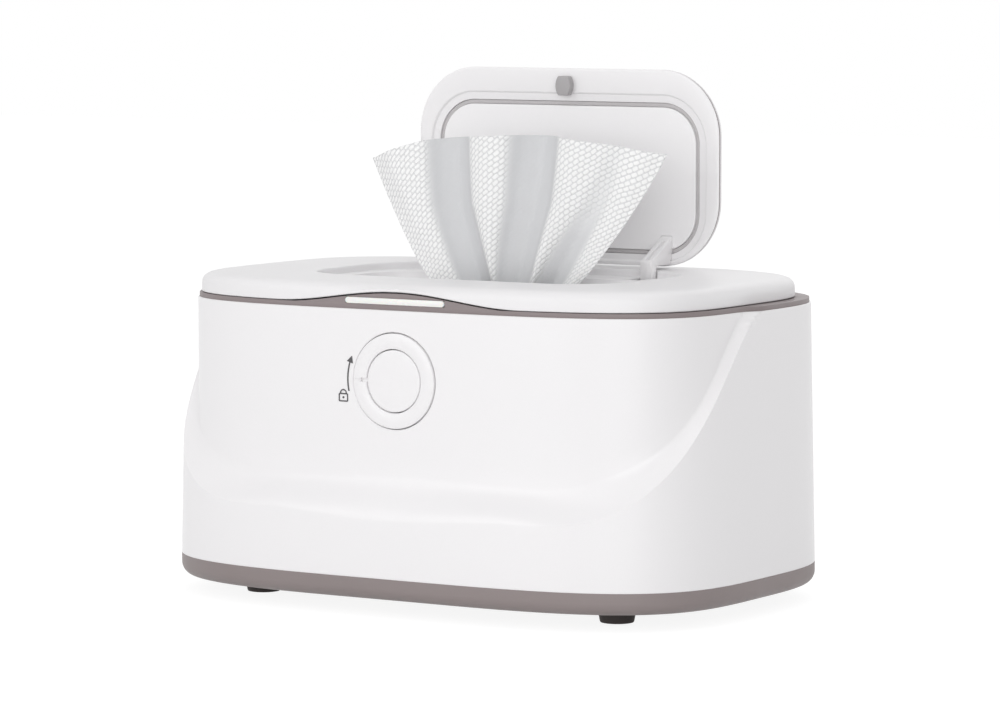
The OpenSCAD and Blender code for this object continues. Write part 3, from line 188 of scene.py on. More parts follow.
class WipeSettings(bpy.types.PropertyGroup):
    """Form of the wipe that stands in the slot."""

    width: length("Width", "Width of the fan at its tips", 0.138)
    neck: length("Neck", "Width where it leaves the slot", 0.070)
    height: length("Height", "Height above the slot", 0.061)
    slot_height: length("Slot height", "Height of the slot's floor", 0.124)
    tail: length("Tail", "Length that hangs below the slot", 0.012)
    place: length("Place", "Middle of the folds along Y", 0.0133)
    thickness: length("Thickness", "Thickness of the cloth", 0.00045)
    pitch: length("Embossing pitch", "Distance between the embossed rows", 0.00185)


class FinishSettings(bpy.types.PropertyGroup):
    """Colours of the visible finishes."""

    white: tint("White plastic", "Colour of the casing and the flap", (0.868, 0.856, 0.862))
    lid: tint("Lid plastic", "Colour of the main lid", (0.838, 0.828, 0.834))
    inner: tint("Inner plastic", "Colour of the tub, the liner and the panel", (0.90, 0.89, 0.895))
    tray: tint("Tray", "Colour of the tray", (0.262, 0.222, 0.218))
    band: tint("Frame", "Colour of the grey frame", (0.25, 0.21, 0.21))
    rubber: tint("Feet", "Colour of the rubber feet", (0.05, 0.04, 0.038))
    seal: tint("Seal", "Colour of the seals", (0.55, 0.53, 0.535))
    catch: tint("Catch", "Colour of the flap's catch", (0.42, 0.405, 0.41))
    printing: tint("Printing", "Colour of the printed symbols", (0.11, 0.105, 0.11))
    cloth: tint("Wipe", "Colour of the wipe", (0.95, 0.95, 0.945))
    # Painted shade: this grey is laid into the wipe's fold valleys and between its embossed pads, where shade
    # falls
    painted_shade: tint("Wipe's shade", "Colour in the wipe's hollows", (0.65, 0.655, 0.665))


LAMPS = (
    ("key", (-1.0, -2.0, 1.3), 1.4),
    ("low", (-0.6, -2.2, 0.25), 1.2),
    ("front", (1.2, -1.9, 0.5), 1.5),
    ("top", (0.1, 0.3, 1.9), 1.6),
    ("side", (1.2, 1.8, 0.6), 1.2),
    ("back", (-0.3, 1.9, 1.1), 1.4),
)


class StageSettings(bpy.types.PropertyGroup):
    """Camera and light."""

    lens: number("Lens", "Focal length of the camera in millimetres", 165.8, 10, 400)
    eye: point("Camera place", "Where the camera stands", (0.9772, -1.5745, 0.2627))
    target: point("Target", "Point that the camera looks at", (0.00046, 0.00220, 0.09730))
    key: number("Key light", "Power of the large light in front on the left, in watts", 7.0)
    low: number("Low light", "Power of the light low in front, in watts", 7.0)
    front: number("Front light", "Power of the light beside the camera, in watts", 15.0)
    top: number("Top light", "Power of the light above, in watts", 4.5)
    side: number("Side light", "Power of the light behind on the right, in watts", 2.0)
    back: number("Back light", "Power of the light behind, in watts", 2.5)
    fill: number("Room light", "Brightness of the room", 0.6, 0, 2)


def clear_selection():
    """Goes to object mode with nothing selected."""
    if bpy.context.mode != "OBJECT":
        bpy.ops.object.mode_set(mode="OBJECT")
    bpy.ops.object.select_all(action="DESELECT")


def pick(obj):
    """Selects one object alone and makes it active."""
    clear_selection()
    obj.select_set(True)
    bpy.context.view_layer.objects.active = obj


def ease(t):
    """Smooth step from 0 to 1."""
    t = np.clip(t, 0.0, 1.0)
    return t * t * (3 - 2 * t)


def plan_radius(half_width, half_depth, power, angle):
    """Radius of a squared oval at an angle."""
    across = (np.abs(np.cos(angle)) / half_width) ** power
    along = (np.abs(np.sin(angle)) / half_depth) ** power
    return (across + along) ** (-1 / power)


def smooth(obj, angle=32):
    """Smooth shading that keeps edges sharper than the angle."""
    pick(obj)
    bpy.ops.object.shade_smooth_by_angle(angle=math.radians(angle))


def wrapped(name, rings, flip=False, weld=2e-6):
    """A grid whose rows are laid on rings of points, closed round and welded."""
    across = len(rings[0])
    clear_selection()
    bpy.ops.mesh.primitive_grid_add(x_subdivisions=across, y_subdivisions=len(rings) - 1, size=1.0,
                                    location=(0, 0, 0))
    obj = bpy.context.object
    obj.name = name
    rows = [np.vstack([ring, ring[:1]]) for ring in rings]
    points = np.concatenate(rows).astype(np.float32)
    if len(obj.data.vertices) != len(points):
        raise RuntimeError(f"{name}: the grid has {len(obj.data.vertices)} points, not {len(points)}")
    obj.data.vertices.foreach_set("co", points.ravel())
    obj.data.update()
    bpy.ops.object.mode_set(mode="EDIT")
    bpy.ops.mesh.select_all(action="SELECT")
    bpy.ops.mesh.remove_doubles(threshold=weld)
    bpy.ops.mesh.normals_make_consistent(inside=flip)
    bpy.ops.object.mode_set(mode="OBJECT")
    return obj

def turned(name, profile, centre, axis="Z", steps=96):
    """A turned solid: the profile's points are (radius, distance along the axis)."""
    angles = np.arange(steps) * (2 * math.pi / steps)
    length_way = "XYZ".index(axis)
    first, second = [way for way in range(3) if way != length_way]
    rings = []
    for radius, along in profile:
        ring = np.zeros((steps, 3))
        ring[:, first] = centre[first] + radius * np.cos(angles)
        ring[:, second] = centre[second] + radius * np.sin(angles)
        ring[:, length_way] = centre[length_way] + along
        rings.append(ring)
    return wrapped(name, rings)


def oblong(width, height, radius, corner=20, side=8):
    """Points of a rectangle with round corners, in its own plane, with more points along its sides."""
    arcs = []
    for turn, (right, up) in enumerate(((1, 1), (-1, 1), (-1, -1), (1, -1))):
        angles = QUARTER_TURN * (turn + np.arange(corner + 1) / corner)
        x = right * (width / 2 - radius) + radius * np.cos(angles)
        y = up * (height / 2 - radius) + radius * np.sin(angles)
        arcs.append(np.column_stack([x, y]))
    share = (np.arange(1, side) / side)[:, None]
    points = []
    for arc, following in zip(arcs, arcs[1:] + arcs[:1]):
        points += [arc, arc[-1] * (1 - share) + following[0] * share]
    return np.concatenate(points)


def block(name, low, high, bevel=0.0, segments=3):
    """A cube primitive between two corners, with its edges bevelled."""
    clear_selection()
    middle = [(a + b) / 2 for a, b in zip(low, high)]
    bpy.ops.mesh.primitive_cube_add(size=1.0, location=middle)
    obj = bpy.context.object
    obj.name = name
    obj.scale = [b - a for a, b in zip(low, high)]
    bpy.ops.object.transform_apply(location=True, rotation=True, scale=True)
    if bevel > 0:
        bpy.ops.object.mode_set(mode="EDIT")
        bpy.ops.mesh.select_all(action="SELECT")
        bpy.ops.mesh.bevel(offset=bevel, segments=segments, affect="EDGES")
        bpy.ops.object.mode_set(mode="OBJECT")
    return obj


def rod(name, radius, start, end, steps=48):
    """A cylinder primitive between two points."""
    clear_selection()
    a = Vector(start)
    b = Vector(end)
    bpy.ops.mesh.primitive_cylinder_add(vertices=steps, radius=radius, depth=(b - a).length,
                                        location=(a + b) / 2)
    obj = bpy.context.object
    obj.name = name
    obj.rotation_mode = "QUATERNION"
    obj.rotation_quaternion = (b - a).to_track_quat("Z", "Y")
    bpy.ops.object.transform_apply(location=True, rotation=True, scale=True)
    return obj


def apply_modifier(obj, modifier):
    """Applies one modifier."""
    pick(obj)
    bpy.ops.object.modifier_apply(modifier=modifier.name)


def cut(obj, cutter):
    """Cuts one solid out of another."""
    modifier = obj.modifiers.new("Cut", "BOOLEAN")
    modifier.operation = "DIFFERENCE"
    modifier.solver = "EXACT"
    modifier.object = cutter
    apply_modifier(obj, modifier)
    bpy.data.objects.remove(cutter)


def joined(name, parts):
    """Joins pieces into one."""
    clear_selection()
    for part in parts:
        part.select_set(True)
    bpy.context.view_layer.objects.active = parts[0]
    bpy.ops.object.join()
    parts[0].name = name
    return parts[0]


def settle(obj, body, material, nodes=()):
    """Gives a finished piece its body and its finish, and hides the working solids that it replaces."""
    obj.data.name = obj.name
    obj.data.materials.clear()
    obj.data.materials.append(material)
    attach(obj, body)
    if nodes:
        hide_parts(*nodes)
    return obj


def eased_copy(node, name, body, material, bevel=0.0, angle=35):
    """A welded copy of a working solid with smooth round faces and soft edges, in place of it."""
    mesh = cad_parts[node].data.copy()
    obj = bpy.data.objects.new(name, mesh)
    bpy.context.scene.collection.objects.link(obj)
    pick(obj)
    bpy.ops.mesh.customdata_custom_splitnormals_clear()
    bpy.ops.object.mode_set(mode="EDIT")
    bpy.ops.mesh.select_all(action="SELECT")
    bpy.ops.mesh.remove_doubles(threshold=1e-5)
    bpy.ops.mesh.dissolve_limited(angle_limit=math.radians(0.1))
    bpy.ops.object.mode_set(mode="OBJECT")
    if bevel > 0:
        modifier = obj.modifiers.new("Soft edges", "BEVEL")
        modifier.width = bevel
        modifier.segments = 2
        modifier.limit_method = "ANGLE"
        modifier.angle_limit = math.radians(40)
        modifier.harden_normals = False
        apply_modifier(obj, modifier)
    smooth(obj, angle)
    return settle(obj, body, material, (node,))


# Parts that the shared shader effects are made of


def feed(tree, socket, value):
    """Links a socket to another one, or sets it to a number or a colour."""
    if isinstance(value, bpy.types.NodeSocket):
        tree.links.new(value, socket)
    else:
        socket.default_value = value


def node_with(tree, kind, values, **settings):
    """A node with its settings, and with its inputs fed by links, numbers or colours."""
    node = tree.nodes.new(kind)
    for key, value in settings.items():
        setattr(node, key, value)
    for key, value in values.items():
        feed(tree, node.inputs[key], value)
    return node


def calculated(tree, operation, *values):
    """The result of a Math node."""
    return node_with(tree, "ShaderNodeMath", dict(enumerate(values)), operation=operation).outputs[0]


def noise(tree, vector, scale, detail, roughness=0.5):
    """The grey output of a Noise Texture."""
    values = {"Vector": vector, "Scale": scale, "Detail": detail, "Roughness": roughness}
    return node_with(tree, "ShaderNodeTexNoise", values).outputs["Fac"]


def mixed(tree, factor, a, b, blend="MIX"):
    """The result of a Mix node for colours."""
    values = {0: factor, 6: a, 7: b}
    return node_with(tree, "ShaderNodeMix", values, data_type="RGBA", blend_type=blend).outputs[2]


def remap(tree, value, low, high, new_low, new_high):
    """A value brought from one range to another."""
    values = {"Value": value, "From Min": low, "From Max": high, "To Min": new_low, "To Max": new_high}
    return node_with(tree, "ShaderNodeMapRange", values).outputs["Result"]


def shaded(tree, colour, share):
    """A colour made darker by a share from 0 to 1."""
    grey = node_with(tree, "ShaderNodeCombineColor", {"Red": share, "Green": share, "Blue": share})
    return mixed(tree, 1.0, colour, grey.outputs[0], "MULTIPLY")


def drawn_out(tree, vector, share):
    """A vector with its X part made smaller, which draws a pattern out along X."""
    values = {0: vector, 1: (share, 1.0, 1.0)}
    return node_with(tree, "ShaderNodeVectorMath", values, operation="MULTIPLY").outputs[0]


def new_effect(name, inputs):
    """An empty node group: a vector and the named inputs go in, and colour, roughness and height come out."""
    tree = bpy.data.node_groups.new(name, "ShaderNodeTree")
    tree.interface.new_socket(name="Vector", in_out="INPUT", socket_type="NodeSocketVector")
    for label, default in inputs.items():
        kind = "NodeSocketColor" if isinstance(default, tuple) else "NodeSocketFloat"
        tree.interface.new_socket(name=label, in_out="INPUT", socket_type=kind).default_value = default
    for label, kind in (("Colour", "Color"), ("Roughness", "Float"), ("Height", "Float")):
        tree.interface.new_socket(name=label, in_out="OUTPUT", socket_type="NodeSocket" + kind)
    return tree, tree.nodes.new("NodeGroupInput").outputs


def deliver(tree, colour, rough, height):
    """Hands a surface's colour, roughness and height out of its group."""
    node_with(tree, "NodeGroupOutput", {"Colour": colour, "Roughness": rough, "Height": height})
    return tree


# Shared shader effects, each one node group that the finishes use with their own values


def moulded_group():
    """Moulded plastic: slow change of tone, fine eroded grain and uneven gloss."""
    tree, given = new_effect("Moulded surface", {
        "Colour": (0.8, 0.8, 0.8, 1), "Tone Change": 0.03, "Grain Scale": 2200.0, "Gloss Low": 0.3,
        "Gloss High": 0.4})
    slow = noise(tree, given["Vector"], 14.0, 2.0)
    fine = noise(tree, given["Vector"], given["Grain Scale"], 4.0, 0.65)
    smear = noise(tree, given["Vector"], 55.0, 5.0, 0.6)
    tone = remap(tree, slow, 0.3, 0.7, calculated(tree, "SUBTRACT", 1.0, given["Tone Change"]), 1.0)
    speck = remap(tree, fine, 0.35, 0.65, 0.985, 1.0)
    colour = shaded(tree, given["Colour"], calculated(tree, "MULTIPLY", tone, speck))
    rough = remap(tree, smear, 0.3, 0.7, given["Gloss Low"], given["Gloss High"])
    return deliver(tree, colour, rough, fine)


def brushed_group():
    """Drawn or turned metal: streaks along one direction."""
    tree, given = new_effect("Brushed metal", {"Colour": (0.7, 0.7, 0.72, 1), "Streak Scale": 900.0})
    streak = noise(tree, drawn_out(tree, given["Vector"], 0.12), given["Streak Scale"], 3.0, 0.6)
    patch = noise(tree, given["Vector"], 120.0, 2.0)
    colour = shaded(tree, given["Colour"], remap(tree, streak, 0.3, 0.7, 0.82, 1.0))
    return deliver(tree, colour, remap(tree, patch, 0.3, 0.7, 0.26, 0.4), streak)


def embossed_group():
    """Embossed nonwoven: crossing diagonal rows of small pads with loose fibres between them, with painted
    shade in the valleys off the ridges and in the gaps between the pads.
    """
    tree, given = new_effect("Embossed cloth", {
        "Colour": (0.9, 0.9, 0.9, 1), "Shade": (0.6, 0.6, 0.62, 1), "Pitch": 0.0021, "Ridge": 1.0})

    def result(operation, *values):
        return calculated(tree, operation, *values)

    split = node_with(tree, "ShaderNodeSeparateXYZ", {0: given["Vector"]}).outputs
    shift = remap(tree, noise(tree, given["Vector"], 90.0, 2.0), 0.3, 0.7, -0.0003, 0.0003)
    u = result("ADD", split[0], shift)
    v = result("SUBTRACT", split[1], shift)
    # Rows that rise to the right, each a chain of pads set half a pad on from the row below
    level = 0.82
    rising = 0.57
    pad_length = 1.75
    across_rows = result("SUBTRACT", result("MULTIPLY", v, level), result("MULTIPLY", u, rising))
    along_rows = result("ADD", result("MULTIPLY", u, level), result("MULTIPLY", v, rising))
    row = result("DIVIDE", across_rows, given["Pitch"])
    pad = result("DIVIDE", along_rows, result("MULTIPLY", given["Pitch"], pad_length))
    stagger = result("MULTIPLY", result("FLOOR", row), 0.5)
    waves = []
    for part in (row, result("ADD", pad, stagger)):
        wave = result("SINE", result("MULTIPLY", part, math.pi))
        waves.append(result("ABSOLUTE", wave))
    pads = result("MULTIPLY", waves[0], remap(tree, waves[1], 0.1, 0.7, 0.25, 1.0))
    lift = remap(tree, pads, 0.14, 0.55, 0.0, 1.0)
    fibre = noise(tree, given["Vector"], 1500.0, 4.0, 0.7)
    # Painted shade: the valleys take the shade colour outright, and the gaps between pads on the ridges are
    # darkened towards it
    clear = remap(tree, given["Ridge"], 0.25, 0.75, 0.12, 1.0)
    strong = result("MULTIPLY", lift, clear)
    pad_gap_shade = result("MULTIPLY", result("SUBTRACT", clear, strong), 0.62)
    base = mixed(tree, given["Ridge"], given["Shade"], given["Colour"])
    height = result("ADD", strong, result("MULTIPLY", fibre, 0.3))
    colour = mixed(tree, pad_gap_shade, base, given["Shade"])
    return deliver(tree, colour, remap(tree, fibre, 0.3, 0.7, 0.75, 0.95), height)


def traced_group():
    """Printed lines: straight tracks with gaps, for the board and the heating film."""
    tree, given = new_effect("Printed tracks", {
        "Ground": (0.02, 0.2, 0.08, 1), "Track": (0.03, 0.3, 0.12, 1), "Scale": 300.0})
    black = (0, 0, 0, 1)
    bricks = node_with(tree, "ShaderNodeTexBrick", {
        "Vector": given["Vector"], "Color1": black, "Color2": black, "Mortar": (1, 1, 1, 1),
        "Scale": given["Scale"], "Mortar Size": 0.06, "Brick Width": 2.3, "Row Height": 0.8})
    mask = bricks.outputs["Fac"]
    fine = noise(tree, given["Vector"], 800.0, 2.0)
    return deliver(tree, mixed(tree, mask, given["Ground"], given["Track"]),
                   remap(tree, fine, 0.3, 0.7, 0.3, 0.45), calculated(tree, "ADD", mask, fine))


def fibre_group():
    """Felted fibres: fine crossed strands in slightly different tones."""
    tree, given = new_effect("Felted fibres", {"Colour": (0.7, 0.66, 0.5, 1), "Scale": 700.0})
    one = noise(tree, drawn_out(tree, given["Vector"], 0.35), given["Scale"], 5.0, 0.7)
    two = noise(tree, given["Vector"], given["Scale"], 4.0, 0.6)
    both = calculated(tree, "MULTIPLY", one, two)
    colour = shaded(tree, given["Colour"], remap(tree, both, 0.15, 0.4, 0.7, 1.0))
    return deliver(tree, colour, remap(tree, two, 0.3, 0.7, 0.85, 1.0), both)


EFFECTS = {"moulded": moulded_group, "brushed": brushed_group, "embossed": embossed_group,
           "tracks": traced_group, "fibres": fibre_group}
GROUPS = {}
FINISHES = {}


def effect(name):
    """A shared effect, built the first time that it is asked for."""
    if name not in GROUPS:
        GROUPS[name] = EFFECTS[name]()
    return GROUPS[name]


def finish(name, effect_name, values, bump, coordinate="Object", relief=0.00003, **sockets):
    """A material from one shared effect, with the values that stay the same set on the shader."""
    material = bpy.data.materials.new(name)
    material.use_nodes = True
    tree = material.node_tree
    shader = tree.nodes["Principled BSDF"]
    coordinates = tree.nodes.new("ShaderNodeTexCoord")
    surface = tree.nodes.new("ShaderNodeGroup")
    surface.node_tree = effect(effect_name)
    surface.name = "Surface"
    tree.links.new(coordinates.outputs[coordinate], surface.inputs["Vector"])
    for label, value in values.items():
        surface.inputs[label].default_value = value
    raised = node_with(tree, "ShaderNodeBump", {
        "Strength": bump, "Distance": relief, "Height": surface.outputs["Height"]})
    tree.links.new(surface.outputs["Colour"], shader.inputs["Base Color"])
    tree.links.new(surface.outputs["Roughness"], shader.inputs["Roughness"])
    tree.links.new(raised.outputs["Normal"], shader.inputs["Normal"])
    for label, value in sockets.items():
        shader.inputs[label.replace("_", " ")].default_value = value
    material.diffuse_color = values.get("Colour", (0.5, 0.5, 0.5, 1))
    FINISHES[name] = material
    return material


def rgba(colour):
    """A colour as four numbers."""
    return (*colour, 1.0)


def moulded(name, colour, gloss, bump, tone=0.015, grain=2200.0, **sockets):
    """A moulded plastic or rubber: its colour, least and most gloss, relief, change of tone and grain."""
    values = {"Colour": rgba(colour), "Gloss Low": gloss[0], "Gloss High": gloss[1], "Tone Change": tone,
              "Grain Scale": grain}
    return finish(name, "moulded", values, bump, **sockets)


class WARMER_OT_finishes(bpy.types.Operator):
    """Makes every finish of the warmer"""

    bl_idname = "warmer.finishes"
    bl_label = "Make the finishes"

    def execute(self, context):
        look = context.scene.warmer_finish
        moulded("White plastic", look.white, (0.3, 0.32), 0.03, 0.006, Coat_Weight=0.12, Coat_Roughness=0.14)
        moulded("Lid plastic", look.lid, (0.38, 0.42), 0.05, 0.008)
        moulded("Inner plastic", look.inner, (0.45, 0.55), 0.1)
        moulded("Tray plastic", look.tray, (0.42, 0.55), 0.2, 0.06)
        moulded("Frame plastic", look.band, (0.4, 0.5), 0.15, 0.05)
        moulded("Foot rubber", look.rubber, (0.7, 0.85), 0.3, 0.15, 1400.0)
        moulded("Seal rubber", look.seal, (0.6, 0.75), 0.2, 0.08, 1600.0)
        moulded("Catch plastic", look.catch, (0.45, 0.55), 0.15, 0.08)
        moulded("Printing ink", look.printing, (0.6, 0.8), 0.3, 0.2, 3500.0)
        moulded("Dark plastic", (0.02, 0.02, 0.022), (0.4, 0.55), 0.2)
        moulded("Light cover", (0.9, 0.89, 0.86), (0.2, 0.3), 0.05, Subsurface_Weight=0.15,
                Subsurface_Scale=0.002)
        moulded("Red wire", (0.5, 0.03, 0.02), (0.4, 0.5), 0.2, 0.15)
        moulded("Pale wire", (0.7, 0.7, 0.64), (0.4, 0.5), 0.2, 0.1)
        moulded("Dark wire", (0.03, 0.03, 0.03), (0.4, 0.5), 0.2, 0.15)
        moulded("Lamp resin", (0.85, 0.82, 0.5), (0.2, 0.3), 0.1)
        finish("Steel", "brushed", {"Colour": (0.58, 0.58, 0.6, 1), "Streak Scale": 900.0}, 0.2, Metallic=1.0)
        finish("Aluminium", "brushed", {"Colour": (0.75, 0.76, 0.77, 1), "Streak Scale": 500.0}, 0.25,
               Metallic=1.0)
        finish("Green board", "tracks", {"Ground": (0.012, 0.12, 0.05, 1), "Track": (0.03, 0.24, 0.1, 1),
               "Scale": 300.0}, 0.3)
        finish("Heating film", "tracks", {"Ground": (0.5, 0.2, 0.05, 1), "Track": (0.8, 0.5, 0.3, 1),
               "Scale": 120.0}, 0.3)
        finish("Insulation felt", "fibres", {"Colour": (0.66, 0.62, 0.45, 1), "Scale": 700.0}, 0.6,
               relief=0.0003, Sheen_Weight=0.2)
        cloth = finish("Wipe cloth", "embossed", {"Colour": rgba(look.cloth), "Shade": rgba(look.painted_shade),
                       "Pitch": context.scene.warmer_wipe.pitch}, 0.55, "UV", 0.0005, Sheen_Weight=0.15)
        # The ridge attribute tells the cloth finish where to paint shade: fully in the valleys, fainter
        # between pads on the ridges
        ridge = cloth.node_tree.nodes.new("ShaderNodeAttribute")
        ridge.attribute_name = "ridge"
        cloth.node_tree.links.new(ridge.outputs["Fac"], cloth.node_tree.nodes["Surface"].inputs["Ridge"])
        return {"FINISHED"}


# Form of the casing, the same curves as the working solid has. A zone starts so many degrees in front of the
# middle of a side and is full after so many more

CLIMB_START = 52
CORNER_ZONE = (14, 24)
SOFT_ZONE = (38, 20)
FRONT_ZONE = (50, 40)


def side_angle(angle):
    """Degrees from the nearest side's middle, negative towards the front."""
    return np.degrees(np.arctan2(np.sin(angle), np.abs(np.cos(angle))))


def forward(s, zone):
    """Share from 0 to 1 of a zone at a side angle."""
    start, reach = zone
    return ease((-start - s) / reach)


def crest_height(casing, s):
    """Height of the ledge's crest at a side angle."""
    rise = (casing.top - casing.low) - casing.crest
    climb = np.maximum(0, (s + CLIMB_START) / CLIMB_START) ** 1.5
    return casing.low + casing.crest - casing.dip * forward(s, FRONT_ZONE) + rise * ease(climb)


def ledge_height(casing, s):
    """Height of the ledge's slope at a side angle."""
    return (casing.ledge_side + casing.ledge_corner * forward(s, CORNER_ZONE)
            + casing.ledge_front * forward(s, FRONT_ZONE))


def casing_radius(casing, angle, z):
    """Radius of the casing's outside at an angle and a height."""
    s = side_angle(angle)
    t = np.clip((z - crest_height(casing, s)) / ledge_height(casing, s), 0, 1)
    soft = forward(s, SOFT_ZONE)
    share = (1 - soft) * (1 - t) ** 1.7 + soft * (1 - ease(t))
    lean = casing.draft * (z - casing.low) / (casing.top - casing.low)
    outer = plan_radius(casing.width / 2 - lean, casing.depth / 2 - lean, casing.squareness, angle)
    upper = plan_radius(casing.width / 2 - casing.inset_side, casing.depth / 2 - casing.inset_front,
                        casing.upper_squareness, angle)
    return upper + (outer - upper) * share


def casing_ring(casing, angles, z, inset):
    """One ring of the casing at heights z, set in by inset."""
    radius = casing_radius(casing, angles, z) - inset
    return np.column_stack([radius * np.cos(angles), radius * np.sin(angles), z])


class WARMER_OT_casing(bpy.types.Operator):
    """Makes the white casing with its sweeping ledge"""

    bl_idname = "warmer.casing"
    bl_label = "Make the casing"

    def execute(self, context):
        casing = context.scene.warmer_casing
        knob = context.scene.warmer_knob
        angles = np.arange(casing.steps) * (2 * math.pi / casing.steps)
        s = side_angle(angles)
        ledge = ledge_height(casing, s)
        least_above = 0.0015
        crest = np.minimum(crest_height(casing, s), casing.top - ledge - least_above)
        foot = crest - 0.6 * MM
        above = crest + ledge
        brim = casing.top - 0.3 * MM
        level = np.full(len(angles), 1.0)
        heights = [level * (casing.low + 0.2 * MM)]
        heights += [casing.low + k * (foot - casing.low) for k in (0.25, 0.5, 0.75, 0.9, 1)]
        heights += [crest + k * ledge for k in
                    (0, 0.03, 0.08, 0.14, 0.21, 0.29, 0.37, 0.45, 0.53, 0.61, 0.69, 0.77, 0.85, 0.93, 1)]
        heights += [above + k * (brim - above) for k in (0.12, 0.3, 0.5, 0.7, 0.9, 1)]
        # The inside comes down in fewer rings than the outside goes up
        inside = [level * casing.top] + heights[-3:4:-3] + [heights[2], level * casing.low]
        rings = [casing_ring(casing, angles, level * casing.low, 0.2 * MM)]
        rings += [casing_ring(casing, angles, z, 0.0) for z in heights]
        rings.append(casing_ring(casing, angles, level * casing.top, 0.3 * MM))
        rings += [casing_ring(casing, angles, z, casing.wall) for z in inside]
        rings.append(rings[0])
        skin = wrapped("casing_skin", rings)
        radius = knob.ring_radius + knob.hole_gap
        front = knob.ring_front + 0.6 * MM
        hole = [(0, -0.004), (radius + 0.004, -0.004), (radius, 0.0003), (radius, 0.006), (0, 0.006)]
        cut(skin, turned("cutter", hole, (0, front, knob.height), "Y", 128))
        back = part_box("dc_socket")[1].y
        cut(skin, rod("cutter", casing.inlet_radius, (0, back - 0.008, casing.inlet_height),
                      (0, back + 0.004, casing.inlet_height)))
        smooth(skin, 24)
        settle(skin, "base", FINISHES["White plastic"], ("outer_casing",))
        return {"FINISHED"}


class WARMER_OT_tray(bpy.types.Operator):
    """Makes the grey tray and its feet"""

    bl_idname = "warmer.tray"
    bl_label = "Make the tray and the feet"

    def execute(self, context):
        casing = context.scene.warmer_casing
        tray = context.scene.warmer_tray
        low = TRAY_BOX[0].z
        top = casing.low
        angles = np.arange(tray.steps) * (2 * math.pi / tray.steps)
        radius = plan_radius(casing.width / 2, casing.depth / 2, casing.squareness, angles)

        def ring(inset, z, scale=1.0):
            r = (radius - inset) * scale
            return np.column_stack([r * np.cos(angles), r * np.sin(angles), np.full(tray.steps, z)])

        bend = tray.rounding
        wall = tray.wall
        floor = low + wall
        rings = [ring(0, low, 0.0), ring(bend, low, 0.35), ring(bend, low, 0.7), ring(bend + 0.002, low)]
        for k in range(11):
            a = QUARTER_TURN * k / 10
            rings.append(ring(bend * (1 - math.sin(a)), low + bend * (1 - math.cos(a))))
        rings += [ring(0, top - 0.2 * MM), ring(0.2 * MM, top), ring(wall, top),
                  ring(wall, floor + 1.8 * MM), ring(wall + 0.7 * MM, floor + 0.6 * MM),
                  ring(wall + 2.5 * MM, floor), ring(wall, floor, 0.0)]
        skin = wrapped("tray_skin", rings)
        for x in (-tray.screw_x, tray.screw_x):
            for y in (-tray.screw_y, tray.screw_y):
                cut(skin, rod("cutter", tray.screw_radius, (x, y, low - 0.001), (x, y, low + 0.003)))
        smooth(skin, 28)
        settle(skin, "base", FINISHES["Tray plastic"], ("base_cover",))
        foot = [(0, 0), (0.0061, 0), (0.0065, 0.0001), (0.00672, 0.0005), (0.00785, low), (0, low + 0.0001)]
        feet = [turned("foot", foot, (x, y, 0), "Z", 64) for x in (-tray.foot_x, tray.foot_x)
                for y in (-tray.foot_y, tray.foot_y)]
        feet = joined("feet_skin", feet)
        smooth(feet, 35)
        settle(feet, "base", FINISHES["Foot rubber"], ("rubber_feet",))
        return {"FINISHED"}


def ray_radius(outline, centre, angles):
    """Distance from a centre to a closed outline along each angle."""
    rel = outline - np.array(centre)
    around = np.unwrap(np.arctan2(rel[:, 1], rel[:, 0]))
    if around[-1] < around[0]:
        rel = rel[::-1]
        around = around[::-1]
    ends = np.vstack([rel, rel[:1]])
    result = np.zeros(len(angles))
    for i, angle in enumerate(angles):
        d = np.array([math.cos(angle), math.sin(angle)])
        a = ends[:-1]
        e = ends[1:] - a
        cross = d[0] * e[:, 1] - d[1] * e[:, 0]
        cross = np.where(np.abs(cross) < 1e-14, 1e-14, cross)
        t = (a[:, 0] * e[:, 1] - a[:, 1] * e[:, 0]) / cross
        u = (a[:, 0] * d[1] - a[:, 1] * d[0]) / cross
        good = (u >= -1e-6) & (u <= 1 + 1e-6) & (t > 0)
        result[i] = t[good].max()
    return result


def wave_height(lid, x):
    """Height of the lid's lower edge in front."""
    return lid.low + np.where(np.abs(x) < lid.wave_half,
                              lid.wave * (1 + np.cos(np.pi * x / lid.wave_half)) / 2, 0)

# Hollows in the lid: width, depth, corner radius and middle along Y

RECESS = (0.1449, 0.0843, 0.0277, 0.00145)
WELL = (0.133, 0.05945, 0.021, -0.002975)
SLOT = (0.084, 0.020, 0.00999, 0.010)


